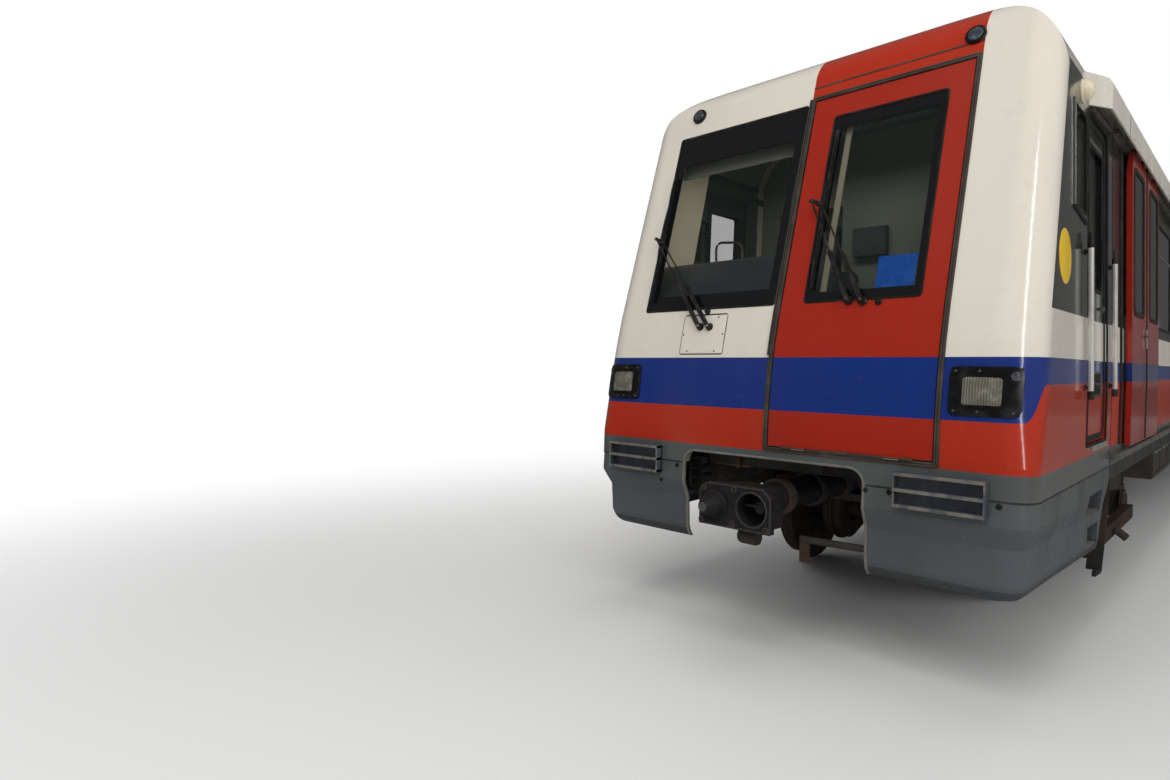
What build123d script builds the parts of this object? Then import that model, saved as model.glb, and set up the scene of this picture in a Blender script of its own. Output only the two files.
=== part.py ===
from build123d import *
import math
import os

os.makedirs("parts", exist_ok=True)

# Frame: X across the car, Y from the cab nose to the rear, Z up from the lowest point of the wheel flanges.
# n is the distance behind the nose plane; SHIFT moves every piece so that the car is centred on the origin.

# Body
BODY_L = 19350.0
CAB_L = 1890.0
HALF_W = 1314.0
WAIST_Z = 1500.0
LEAN_IN = 0.027
SOLE_Z = 998.0
FLOOR_Z = 1180.0
SIDE_TOP_Z = 3060.0
CAB_SIDE_TOP_Z = 3145.0
ROOF_EDGE_TOP = 3500.0
ROOF_EDGE_R = 420.0
ROOF_EDGE_Z = ROOF_EDGE_TOP - ROOF_EDGE_R
CROWN_Z = 3545.0
WALL = 70.0
ROOF_T = 60.0
SEAT = 0.3

# Track and wheels
GAUGE_BACK_TO_BACK = 1360.0
WHEEL_R = 430.0
FLANGE_H = 30.0
WHEEL_W = 130.0
AXLE_Z = WHEEL_R + FLANGE_H
WHEELBASE = 2100.0
BOGIE_BACK = 1210.0
BOGIE_N = CAB_L + BOGIE_BACK

# Nose
NOSE_FOOT_Z = 1150.0
NOSE_FOOT_N = 4.0
NOSE_ARC_R = 2632.5
NOSE_ARC_TOP_Z = 1910.0
NOSE_ARC_RISE = NOSE_ARC_TOP_Z - NOSE_FOOT_Z
NOSE_SLOPE = NOSE_ARC_RISE / math.sqrt(NOSE_ARC_R**2 - NOSE_ARC_RISE**2)
NOSE_FOOT_CORNER_R = 115.0
NOSE_CORNER_R = 190.0
NOSE_TOP_R = 300.0
MASK_DEPTH = NOSE_CORNER_R + 4.0
CAB_T = 60.0

# Doorways of the saloon
DOORWAYS = 4
FIRST_DOOR_BACK = 1160.0
LAST_DOOR_AHEAD = 2650.0
DOOR_HALF = 560.0
DOOR_TOP_Z = 3000.0
LEAF_W = 715.0
LEAF_GAP = 3.0
LEAF_OFF = 16.0
LEAF_T = 32.0
LEAF_FOOT_Z = 1095.0
LEAF_TOP_Z = 3055.0
FIRST_DOOR_N = CAB_L + FIRST_DOOR_BACK
DOOR_PITCH = (BODY_L - LAST_DOOR_AHEAD - FIRST_DOOR_N) / (DOORWAYS - 1)
DOOR_N = [FIRST_DOOR_N + k * DOOR_PITCH for k in range(DOORWAYS)]

# Rear end and couplers
BELLOWS_L = 260.0
DRAWBAR_OUT = 330.0
REAR_REACH = BODY_L + DRAWBAR_OUT
FRONT_REACH = 310.0
COUPLER_Z = 840.0
COUPLER_PIVOT_N = 1150.0
SHIFT = (REAR_REACH - FRONT_REACH) / 2

# Front door, windscreen and lamps, as x ranges and z ranges
FRONT_DOOR_X = (-15.0, HALF_W - 394.0)
FRONT_DOOR_Z = (1120.0, 3230.0)
FRONT_SEAL = 24.0
DOOR_PLAY = 6.0
SCREEN_X = (-HALF_W + 329.0, FRONT_DOOR_X[0] - 25.0)
SCREEN_Z = (1960.0, 3180.0)
LAMP_X = (HALF_W - 361.0, HALF_W - 75.0)
LAMP_Z = (1378.0, 1599.0)
LAMP_DEPTH = 45.0
MARKER_X = HALF_W - 441.0
MARKER_Z = 3336.0
MARKER_R = 45.0

# Cab doors and side windows
CAB_DOOR_N = (CAB_L - 764.0, CAB_L - 179.0)
CAB_DOOR_Z = (FLOOR_Z, 3000.0)
CAB_WINDOW_N = (CAB_DOOR_N[0] - 376.0, CAB_DOOR_N[0] - 56.0)
CAB_WINDOW_Z = (2430.0, 2950.0)

# Reach of cutting boxes past the car
WIDE = HALF_W + 300.0
HIGH = CROWN_Z + 300.0
AHEAD = -FRONT_REACH - 100.0
FAR = REAR_REACH + 100.0
FRONT_CUT = (AHEAD, NOSE_SLOPE * CROWN_Z / 2 + 260.0)


def half_width(z):
    return HALF_W - LEAN_IN * max(0.0, z - WAIST_Z)


ROOF_EDGE_X = half_width(ROOF_EDGE_Z) - ROOF_EDGE_R


def skin_x(z):
    # Half of the body's width at a height, round the roof's edge as well
    if z <= ROOF_EDGE_Z:
        return half_width(z)
    return ROOF_EDGE_X + math.sqrt(ROOF_EDGE_R**2 - (z - ROOF_EDGE_Z) ** 2)


def nose_n(z):
    if z <= NOSE_FOOT_Z:
        return NOSE_FOOT_N * (z - SOLE_Z) / (NOSE_FOOT_Z - SOLE_Z)
    if z <= NOSE_ARC_TOP_Z:
        return NOSE_FOOT_N + NOSE_ARC_R - math.sqrt(NOSE_ARC_R**2 - (z - NOSE_FOOT_Z) ** 2)
    foot = NOSE_FOOT_N + NOSE_ARC_R - math.sqrt(NOSE_ARC_R**2 - NOSE_ARC_RISE**2)
    return foot + NOSE_SLOPE * (z - NOSE_ARC_TOP_Z)


def block(x, n, z):
    size = (x[1] - x[0], n[1] - n[0], z[1] - z[0])
    return Pos((x[0] + x[1]) / 2, (n[0] + n[1]) / 2, (z[0] + z[1]) / 2) * Box(*size)


def inset(span, by):
    return (span[0] + by, span[1] - by)


def rod(a, b, r):
    way = Vector(*b) - Vector(*a)
    return extrude(Plane(origin=a, z_dir=way) * Circle(r), amount=way.length)


def cylinder_x(x0, x1, n, z, r):
    return rod((x0, n, z), (x1, n, z), r)


def prism_x(points, x0, x1):
    # A polygon of (n, z) points, pushed along X
    face = make_face(Polyline(*[(x0, n, z) for n, z in points], close=True))
    return extrude(face, amount=abs(x1 - x0), dir=(1 if x1 > x0 else -1, 0, 0))


def prism_n(points, n0, n1):
    # A polygon of (x, z) points, pushed along the car
    face = make_face(Polyline(*[(x, n0, z) for x, z in points], close=True))
    return extrude(face, amount=n1 - n0, dir=(0, 1, 0))


def prism_z(points, z0, z1):
    # A polygon of (x, n) points, pushed upwards
    face = make_face(Polyline(*[(x, n, z0) for x, n in points], close=True))
    return extrude(face, amount=z1 - z0, dir=(0, 0, 1))


def solids(*shapes):
    out = []
    for shape in shapes:
        out += list(shape.solids())
    return out


def save(name, *shapes):
    pieces = [Pos(0, -SHIFT, 0) * s for s in solids(*shapes)]
    whole = pieces[0] if len(pieces) == 1 else Compound(children=pieces)
    whole.label = name
    export_step(whole, f"parts/{name}.step")


def mirrored(shape):
    return mirror(shape, Plane.YZ)


def both(*shapes):
    return [s for shape in shapes for s in (shape, mirrored(shape))]


# Cross-section of the body, t inside the outer skin

def section(t, n):
    edge = half_width(ROOF_EDGE_Z) - t
    foot = SOLE_Z - 200
    diagonal = math.sqrt(0.5)
    mid_x = ROOF_EDGE_X + (ROOF_EDGE_R - t) * diagonal
    mid_z = ROOF_EDGE_Z + (ROOF_EDGE_R - t) * diagonal
    top = ROOF_EDGE_TOP - t
    edges = [
        Line((HALF_W - t, n, foot), (HALF_W - t, n, WAIST_Z)),
        Line((HALF_W - t, n, WAIST_Z), (edge, n, ROOF_EDGE_Z)),
        ThreePointArc((edge, n, ROOF_EDGE_Z), (mid_x, n, mid_z), (ROOF_EDGE_X, n, top)),
        ThreePointArc((ROOF_EDGE_X, n, top), (0, n, CROWN_Z - t), (-ROOF_EDGE_X, n, top)),
        ThreePointArc((-ROOF_EDGE_X, n, top), (-mid_x, n, mid_z), (-edge, n, ROOF_EDGE_Z)),
        Line((-edge, n, ROOF_EDGE_Z), (-HALF_W + t, n, WAIST_Z)),
        Line((-HALF_W + t, n, WAIST_Z), (-HALF_W + t, n, foot)),
        Line((-HALF_W + t, n, foot), (HALF_W - t, n, foot)),
    ]
    return make_face(edges)


def side_section(off, t, z0, z1):
    # A wall or leaf t thick, off outside the body's side
    return [
        (HALF_W + off, z0),
        (HALF_W + off, WAIST_Z),
        (half_width(z1) + off, z1),
        (half_width(z1) + off + t, z1),
        (HALF_W + off + t, WAIST_Z),
        (HALF_W + off + t, z0),
    ]


def tube_body(t, n0, n1):
    return extrude(section(t, n0), amount=n1 - n0, dir=(0, 1, 0))


# Nose: plan outlines stacked by height, cut to the body's section and rounded off at the top

def plan(z, front, half, r, rear, half_rear=None):
    half_rear = half if half_rear is None else half_rear
    k = r * (1 - math.sqrt(0.5))
    edges = [
        Line((-half_rear, rear, z), (-half, front + r, z)),
        ThreePointArc((-half, front + r, z), (-half + k, front + k, z), (-half + r, front, z)),
        Line((-half + r, front, z), (half - r, front, z)),
        ThreePointArc((half - r, front, z), (half - k, front + k, z), (half, front + r, z)),
        Line((half, front + r, z), (half_rear, rear, z)),
        Line((half_rear, rear, z), (-half_rear, rear, z)),
    ]
    return make_face(edges)


ARC_STEPS = 4
NOSE_STATIONS = [
    # z, radius of the vertical corner there
    (SOLE_Z, NOSE_FOOT_CORNER_R),
    (NOSE_FOOT_Z, NOSE_FOOT_CORNER_R),
    (NOSE_FOOT_Z + NOSE_ARC_RISE / ARC_STEPS, NOSE_CORNER_R - 25),
    (NOSE_FOOT_Z + NOSE_ARC_RISE * 2 / ARC_STEPS, NOSE_CORNER_R - 2),
    (NOSE_FOOT_Z + NOSE_ARC_RISE * 3 / ARC_STEPS, NOSE_CORNER_R),
    (NOSE_ARC_TOP_Z, NOSE_CORNER_R - 10),
    (CROWN_Z + 155, NOSE_CORNER_R - 50),
]
NORMAL = (0.0, -1 / math.hypot(NOSE_SLOPE, 1.0), NOSE_SLOPE / math.hypot(NOSE_SLOPE, 1.0))


def nose(t, rear=CAB_L):
    outlines = [plan(z, nose_n(z) + t, half_width(z) - t, r - t, rear) for z, r in NOSE_STATIONS]
    body = loft(outlines, ruled=True)
    body = body & tube_body(t, AHEAD, rear + 10)
    out_n, out_z = NORMAL[1], NORMAL[2]
    centre_z = CROWN_Z - NOSE_TOP_R
    tangent_z = centre_z + NOSE_TOP_R * out_z
    centre_n = nose_n(tangent_z) - NOSE_TOP_R * out_n
    r = NOSE_TOP_R - t
    mid = math.hypot(out_n, out_z + 1)
    start = (0, centre_n + (r + 4) * out_n, centre_z + (r + 4) * out_z)
    middle = (0, centre_n + r * out_n / mid, centre_z + r * (out_z + 1) / mid)
    top = (0, centre_n, CROWN_Z - t + 0.5)
    low = SOLE_Z - 200
    foot = (0, start[1] - NOSE_SLOPE * (start[2] - low), low)
    edges = [
        Line(foot, start),
        ThreePointArc(start, middle, top),
        Line(top, (0, rear + 50, top[2])),
        Line((0, rear + 50, top[2]), (0, rear + 50, low)),
        Line((0, rear + 50, low), foot),
    ]
    side = make_face(edges)
    return body & extrude(side, amount=WIDE, both=True, dir=(1, 0, 0))


def ahead_of_mask(extra):
    # Everything ahead of the slanted line where the mask meets the cab sides
    low = SOLE_Z - 98
    points = [(AHEAD, low), (AHEAD, HIGH), (nose_n(HIGH) + extra, HIGH)]
    points += [(nose_n(NOSE_ARC_TOP_Z) + extra, NOSE_ARC_TOP_Z)]
    points += [(nose_n(NOSE_FOOT_Z) + extra, NOSE_FOOT_Z), (nose_n(NOSE_FOOT_Z) + extra, low)]
    return prism_x(points, -WIDE, WIDE)


# Cab skin
REAR_PLAY = 20.0
outer = nose(0.0)
inner = nose(CAB_T, CAB_L + REAR_PLAY)
skin = outer - inner
GLASS_IN = 2.0
GLASS_T = 12.0
glass_skin = nose(GLASS_IN) - nose(GLASS_IN + GLASS_T, CAB_L + REAR_PLAY)

front_door_hole = block(FRONT_DOOR_X, FRONT_CUT, FRONT_DOOR_Z)
seal_x = inset(FRONT_DOOR_X, FRONT_SEAL)
seal_z = inset(FRONT_DOOR_Z, FRONT_SEAL)
seal_hole = block(seal_x, FRONT_CUT, seal_z)
leaf_x = inset(seal_x, DOOR_PLAY)
leaf_z = inset(seal_z, DOOR_PLAY)
screen_box = block(SCREEN_X, FRONT_CUT, SCREEN_Z)

# Opening for the coupler in the front skirt
OPENING_HALF = 565.0
OPENING_TOP = 1078.0
OPENING_R = 80.0
OPENING_H = 800.0
opening_face = Plane.XZ * Pos(0, OPENING_TOP - OPENING_H / 2) * RectangleRounded(OPENING_HALF * 2, OPENING_H, OPENING_R)
coupler_opening = extrude(opening_face, amount=400, both=True)

lamp_hole = block(LAMP_X, (AHEAD, NOSE_CORNER_R + 10), LAMP_Z)
mask_zone = ahead_of_mask(MASK_DEPTH)
mask = (skin & mask_zone) - front_door_hole - screen_box - coupler_opening
for hole in both(lamp_hole):
    mask = mask - hole
save("cab_mask", mask)

# Front door frame with the piano hinge at its foot
RAMP_HINGE_N = NOSE_FOOT_N - 10.0
RAMP_HINGE_Z = seal_z[0] + DOOR_PLAY / 2
KNUCKLE_R = 8.0
PIN_R = 4.0
PLATE_BACK = 16.0
FRAME_KNUCKLES = [
    # x0, x1 measured from the left edge of the leaf
    (85.0, 145.0),
    (405.0, 465.0),
    (730.0, 790.0),
]
LEAF_KNUCKLES = [(150.0, 225.0), (650.0, 725.0)]
front_frame = (skin & front_door_hole) - seal_hole
plate_n = (RAMP_HINGE_N - 2, RAMP_HINGE_N + PLATE_BACK)
for x0, x1 in FRAME_KNUCKLES:
    span = (leaf_x[0] + x0, leaf_x[0] + x1)
    front_frame = front_frame + cylinder_x(*span, RAMP_HINGE_N, RAMP_HINGE_Z, KNUCKLE_R)
    front_frame = front_frame + block(span, plate_n, (RAMP_HINGE_Z - 7.5, RAMP_HINGE_Z - 4))
pin_x = (leaf_x[0] + FRAME_KNUCKLES[0][0], leaf_x[0] + FRAME_KNUCKLES[-1][1])
front_frame = front_frame + cylinder_x(*pin_x, RAMP_HINGE_N, RAMP_HINGE_Z, PIN_R)
save("front_door_frame", front_frame)

screen_glass_box = block(inset(SCREEN_X, SEAT), FRONT_CUT, inset(SCREEN_Z, SEAT))
windscreen = glass_skin & screen_glass_box

# Front door leaf with its window
RAMP_WINDOW_X = (FRONT_DOOR_X[0] + 175.0, FRONT_DOOR_X[1] - 150.0)
RAMP_WINDOW_Z = (1960.0, 3060.0)
ramp_leaf = (skin & block(leaf_x, FRONT_CUT, leaf_z)) - block(RAMP_WINDOW_X, FRONT_CUT, RAMP_WINDOW_Z)
for x0, x1 in LEAF_KNUCKLES:
    span = (leaf_x[0] + x0, leaf_x[0] + x1)
    plate = block(span, (RAMP_HINGE_N, RAMP_HINGE_N + PLATE_BACK), (RAMP_HINGE_Z + 3, RAMP_HINGE_Z + 7.5))
    ramp_leaf = ramp_leaf + plate + cylinder_x(*span, RAMP_HINGE_N, RAMP_HINGE_Z, KNUCKLE_R)
    ramp_leaf = ramp_leaf - cylinder_x(span[0] - 5, span[1] + 5, RAMP_HINGE_N, RAMP_HINGE_Z, PIN_R + 0.4)
save("ramp_door", ramp_leaf)
ramp_glass = glass_skin & block(inset(RAMP_WINDOW_X, SEAT), FRONT_CUT, inset(RAMP_WINDOW_Z, SEAT))
save("ramp_door_glass", ramp_glass)

# Cab sides, doors and windows
CAB_DOOR_PLAY = 7.0
CAB_LEAF_IN = 12.0
CAB_LEAF_T = 40.0
SIDE_CUT_X = (-WIDE, -HALF_W + 300)
rear_zone = skin - mask_zone
side = rear_zone & block((-WIDE, 0), (AHEAD, CAB_L + 5), (SOLE_Z - 98, CAB_SIDE_TOP_Z))
cab_side = side - block(SIDE_CUT_X, CAB_DOOR_N, CAB_DOOR_Z) - block(SIDE_CUT_X, CAB_WINDOW_N, CAB_WINDOW_Z)
leaf_cut = block(SIDE_CUT_X, inset(CAB_DOOR_N, CAB_DOOR_PLAY), inset(CAB_DOOR_Z, CAB_DOOR_PLAY))
CAB_PANE_IN = CAB_LEAF_IN + 14.0
CAB_PANE_T = 8.0
leaf_profile = side_section(-CAB_LEAF_IN - CAB_LEAF_T, CAB_LEAF_T, SOLE_Z, CAB_SIDE_TOP_Z)
pane_profile = side_section(-CAB_PANE_IN - CAB_PANE_T, CAB_PANE_T, SOLE_Z, CAB_SIDE_TOP_Z)
cab_leaf_skin = mirrored(prism_n(leaf_profile, 0, CAB_L))
CAB_DOOR_WINDOW_N = (CAB_DOOR_N[0] + 90.0, CAB_DOOR_N[1] - 95.0)
CAB_DOOR_WINDOW_Z = (2050.0, 2850.0)
cab_leaf = (cab_leaf_skin & leaf_cut) - block(SIDE_CUT_X, CAB_DOOR_WINDOW_N, CAB_DOOR_WINDOW_Z)
CAB_HINGE_X = -HALF_W + 110.0
HINGE_ROOT = 4.0
CAB_HINGE_N = CAB_DOOR_N[0] + 20.0
CAB_HINGE_Z = [CAB_DOOR_Z[0] + 220.0, CAB_DOOR_Z[0] + 880.0, CAB_DOOR_Z[1] - 300.0]
for z in CAB_HINGE_Z:
    at = (CAB_HINGE_X, CAB_HINGE_N)
    cab_side = cab_side + rod((*at, z - 45), (*at, z + 45), 8)
    skin_in = -half_width(z) + CAB_T - HINGE_ROOT
    for ear_z in ((z - 45, z - 35), (z + 35, z + 45)):
        ear = block((skin_in, CAB_HINGE_X + 14), (CAB_HINGE_N - 60, CAB_HINGE_N - 21), ear_z)
        ear = ear + block((CAB_HINGE_X - 14, CAB_HINGE_X + 14), (CAB_HINGE_N - 22, CAB_HINGE_N + 14), ear_z)
        cab_side = cab_side + ear
    leaf_in = -half_width(z) + CAB_LEAF_IN + CAB_LEAF_T - HINGE_ROOT
    arm = block((leaf_in, CAB_HINGE_X), (CAB_HINGE_N, CAB_HINGE_N + 14), (z - 30, z + 30))
    barrel = rod((*at, z - 30), (*at, z + 30), 15) + arm
    cab_leaf = cab_leaf + barrel - rod((*at, z - 40), (*at, z + 40), 8.4)
pane_box = block(SIDE_CUT_X, inset(CAB_DOOR_WINDOW_N, SEAT), inset(CAB_DOOR_WINDOW_Z, SEAT))
cab_door_glass = mirrored(prism_n(pane_profile, 0, CAB_L)) & pane_box
save("cab_side_left", cab_side)
save("cab_side_right", mirrored(cab_side))
save("cab_door_left", cab_leaf, cab_door_glass)
save("cab_door_right", mirrored(cab_leaf), mirrored(cab_door_glass))
side_pane_box = block(SIDE_CUT_X, inset(CAB_WINDOW_N, SEAT), inset(CAB_WINDOW_Z, SEAT))
cab_window = (nose(4.0) - nose(12.0, CAB_L + REAR_PLAY)) & side_pane_box
BACK_N = CAB_L + 70.0
BACK_T = 50.0
BACK_DOOR_HALF = 330.0
BACK_DOOR_TOP = 3080.0
BACK_WINDOW_X = (-HALF_W + 264.0, -BACK_DOOR_HALF - 150.0)
BACK_WINDOW_Z = (2050.0, 2900.0)
back_pane_n = (BACK_N + BACK_T / 2 - 5, BACK_N + BACK_T / 2 + 5)
back_pane = block(inset(BACK_WINDOW_X, SEAT), back_pane_n, inset(BACK_WINDOW_Z, SEAT))
save("cab_glazing", windscreen, *both(cab_window), back_pane)

cab_roof = rear_zone & block((-WIDE, WIDE), (AHEAD, CAB_L + 5), (CAB_SIDE_TOP_Z, HIGH))
save("cab_roof", cab_roof)

# Front skirt under the seam: a thin skin with a fold at its waist
SKIRT_T = 25.0
SKIRT_STATIONS = [
    # z, front, inset of the half width at the front
    (SOLE_Z, 3.0, 3.0),
    (882.0, -3.0, 1.0),
    (862.0, 4.0, 5.0),
    (775.0, 42.0, 42.0),
    (600.0, 48.0, 48.0),
    (565.0, 58.0, 58.0),
    (540.0, 71.0, 71.0),
    (522.0, 90.0, 90.0),
]
SKIRT_REAR = [
    # ahead of the cab's rear, z
    (0.0, 905.0),
    (134.0, 792.0),
    (225.0, 630.0),
    (251.0, 522.0),
    (262.0, 400.0),
]
REAR_FLARE = 0.06


def skirt_body(t):
    outlines = []
    for z, front, inset_x in SKIRT_STATIONS:
        rear_half = HALF_W - inset_x * REAR_FLARE - t
        outlines.append(plan(z, front + t, HALF_W - inset_x - t, NOSE_FOOT_CORNER_R - t, CAB_L, rear_half))
    return loft(outlines[::-1], ruled=True)


arch_points = [(CAB_L + 60, 400), (CAB_L + 60, 956)] + [(CAB_L - ahead, z) for ahead, z in SKIRT_REAR]
arch_cut = prism_x(arch_points, -WIDE, WIDE)
skirt = skirt_body(0.0) - skirt_body(SKIRT_T) - coupler_opening - arch_cut
skirt = skirt - block((-WIDE, WIDE), (CAB_L - 5, CAB_L + 50), (400, SOLE_Z + 100))
STEP_CUPS = [
    # n0 and n1 from the door's front edge, z0, z1
    (154.0, 544.0, 755.0, 880.0),
    (214.0, 489.0, 565.0, 690.0),
]
CUP_DEPTH = 134.0
CUP_T = 10.0
cups = []
for n0, n1, z0, z1 in STEP_CUPS:
    pocket_n = (CAB_DOOR_N[0] + n0, CAB_DOOR_N[0] + n1)
    pocket = block((-WIDE, -HALF_W + CUP_DEPTH), pocket_n, (z0, z1))
    skirt = skirt - pocket - mirrored(pocket)
    case = block((-WIDE, -HALF_W + CUP_DEPTH + CUP_T), inset(pocket_n, -CUP_T), (z0 - CUP_T, z1 + CUP_T))
    cups += both((case & skirt_body(SKIRT_T + SEAT)) - pocket)
save("front_skirt", skirt, *cups)

# Anti-climbers: a back plate with three ribs, across the seam
CLIMBER_X = (HALF_W - 582.0, HALF_W - 176.0)
CLIMBER_Z = (918.0, 1088.0)
CLIMBER_OUT = 65.0
CLIMBER_PLATE = 14.0
RIB_T = 16.0
ribs = block(CLIMBER_X, (-CLIMBER_PLATE, SKIRT_T), CLIMBER_Z)
for z in (CLIMBER_Z[0], (CLIMBER_Z[0] + CLIMBER_Z[1] - RIB_T) / 2, CLIMBER_Z[1] - RIB_T):
    ribs = ribs + block(CLIMBER_X, (-CLIMBER_OUT, 0), (z, z + RIB_T))
climber = ribs - nose(-SEAT) - skirt_body(-SEAT)
save("anti_climbers", *both(climber))

# Headlamps let into the mask, and marker lamps over the windscreen
lamp = (nose(3.0) - nose(LAMP_DEPTH, CAB_L + REAR_PLAY)) & block(
    inset(LAMP_X, SEAT), (AHEAD, NOSE_CORNER_R + 10), inset(LAMP_Z, SEAT)
)
MARKER_T = 14.0


def off_nose(x, z, out):
    return (x, nose_n(z) + NORMAL[1] * out, z + NORMAL[2] * out)


marker = rod(off_nose(MARKER_X, MARKER_Z, SEAT), off_nose(MARKER_X, MARKER_Z, MARKER_T), MARKER_R)
save("front_lamps", *both(lamp, marker))

# Saloon side walls: one panel per bay, with a header and a sill at each doorway
edges_n = [CAB_L]
for centre in DOOR_N:
    edges_n += [centre - DOOR_HALF, centre + DOOR_HALF]
edges_n.append(BODY_L)
bays = list(zip(edges_n[0::2], edges_n[1::2]))
WINDOW_Z = (1960.0, 2860.0)
WINDOW_EDGE = 330.0
WINDOWS = 2
SHORT_BAY = 2000.0
PANE_IN = 3.0
PANE_T = 12.0
RIGHT = (HALF_W - 300, WIDE)


wall = prism_n(side_section(-WALL, WALL, SOLE_Z, SIDE_TOP_Z), CAB_L, BODY_L)
pane = prism_n(side_section(-PANE_IN - PANE_T, PANE_T, SOLE_Z, SIDE_TOP_Z), CAB_L, BODY_L)
wall_pieces, panes = [], []
for n0, n1 in bays:
    panel = wall & block(RIGHT, (n0, n1), (SOLE_Z, SIDE_TOP_Z))
    if n1 - n0 > SHORT_BAY:
        each = (n1 - n0 - (WINDOWS + 1) * WINDOW_EDGE) / WINDOWS
        for k in range(WINDOWS):
            start = n0 + WINDOW_EDGE + k * (each + WINDOW_EDGE)
            window_n = (start, start + each)
            panel = panel - block(RIGHT, window_n, WINDOW_Z)
            panes.append(pane & block(RIGHT, inset(window_n, SEAT), inset(WINDOW_Z, SEAT)))
    wall_pieces.append(panel)
for centre in DOOR_N:
    span = (centre - DOOR_HALF, centre + DOOR_HALF)
    wall_pieces.append(wall & block(RIGHT, span, (DOOR_TOP_Z, SIDE_TOP_Z)))
    wall_pieces.append(wall & block(RIGHT, span, (SOLE_Z, FLOOR_Z)))
save("side_wall_right", *wall_pieces)
save("side_wall_left", *[mirrored(p) for p in wall_pieces])
save("saloon_glazing", *both(*panes))

# Roof: a crown and two rounded edges
roof = tube_body(0.0, CAB_L, BODY_L) - tube_body(ROOF_T, CAB_L - 10, BODY_L + 10)
crown = roof & block((-ROOF_EDGE_X, ROOF_EDGE_X), (AHEAD, FAR), (SIDE_TOP_Z, HIGH))
edge_right = roof & block((ROOF_EDGE_X, WIDE), (AHEAD, FAR), (SIDE_TOP_Z, HIGH))
save("roof_shell", crown, *both(edge_right))

# Floor and underframe
CAB_FLOOR_Z = 1090.0
floor = block((-HALF_W + WALL, HALF_W - WALL), (CAB_L, BODY_L), (SOLE_Z, FLOOR_Z))
cab_floor = nose(CAB_T) & block((-WIDE, WIDE), (0, CAB_L), (CAB_FLOOR_Z, FLOOR_Z))
cab_floor = cab_floor - block(inset(leaf_x, -5), (AHEAD, CAB_T + 30), (leaf_z[0] - 10, FLOOR_Z + 20))
PIVOT_R = 70.0
PIVOT_FOOT_Z = 560.0
pivots = [rod((0, n, PIVOT_FOOT_Z), (0, n, SOLE_Z), PIVOT_R) for n in (BOGIE_N, BODY_L - BOGIE_N)]
SOLE_BAR_X = (HALF_W - 63.0, HALF_W - 3.0)
SOLE_BAR_Z = (905.0, SOLE_Z - SEAT)
sole_bar = block(SOLE_BAR_X, (CAB_L, BODY_L), SOLE_BAR_Z)
CROSS_BEAM_N = (330.0, 362.0)
CROSS_BEAM_HALF = 600.0
CROSS_BEAM_FOOT_Z = 968.0
cross_beam = block((-CROSS_BEAM_HALF, CROSS_BEAM_HALF), CROSS_BEAM_N, (CROSS_BEAM_FOOT_Z, CAB_FLOOR_Z))
save("underframe", floor, cab_floor + cross_beam, *pivots, *both(sole_bar))

# Rear end wall with a gangway opening
GANGWAY_HALF = 420.0
GANGWAY_TOP = 3120.0
END_T = 90.0
end_section = tube_body(WALL, BODY_L - END_T, BODY_L) & block((-WIDE, WIDE), (0, FAR), (FLOOR_Z, HIGH))
end_left = end_section & block((-WIDE, -GANGWAY_HALF), (0, FAR), (FLOOR_Z, GANGWAY_TOP))
end_top = end_section & block((-WIDE, WIDE), (0, FAR), (GANGWAY_TOP, HIGH))
save("rear_end_wall", *both(end_left), end_top)

# Gangway bellows: pleated sides, top and bottom, with an end frame
PLEATS = 4
PLEAT_IN = 40.0
PLEAT_OUT = 90.0
PLEAT_RISE = 50.0
END_FRAME_T = 40.0
pitch = (BELLOWS_L - END_FRAME_T) / PLEATS
profile_out, profile_in = [], []
for k in range(PLEATS):
    n0 = BODY_L + k * pitch
    profile_out += [(n0, PLEAT_OUT), (n0 + pitch / 2, PLEAT_OUT + PLEAT_RISE)]
    profile_in += [(n0, PLEAT_IN), (n0 + pitch / 2, PLEAT_IN + PLEAT_RISE)]
n_end = BODY_L + PLEATS * pitch
profile_out.append((n_end, PLEAT_OUT))
profile_in.append((n_end, PLEAT_IN))
outline = profile_out + profile_in[::-1]
across = (-GANGWAY_HALF - PLEAT_IN, GANGWAY_HALF + PLEAT_IN)
right = prism_z([(GANGWAY_HALF + d, n) for n, d in outline], FLOOR_Z - PLEAT_IN, GANGWAY_TOP + PLEAT_IN)
top = prism_x([(n, GANGWAY_TOP + d) for n, d in outline], *across)
bottom = prism_x([(n, FLOOR_Z - d) for n, d in outline], *across)
save("gangway_bellows", *both(right), top, bottom)
rim = PLEAT_OUT + PLEAT_RISE
frame_out = GANGWAY_HALF + rim
frame_n = (n_end, n_end + END_FRAME_T)
end_frame = both(block((GANGWAY_HALF, frame_out), frame_n, (FLOOR_Z, GANGWAY_TOP)))
end_frame.append(block((-frame_out, frame_out), frame_n, (GANGWAY_TOP, GANGWAY_TOP + rim)))
end_frame.append(block((-frame_out, frame_out), frame_n, (FLOOR_Z - rim, FLOOR_Z)))
save("gangway_end_frame", *end_frame)

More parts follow.
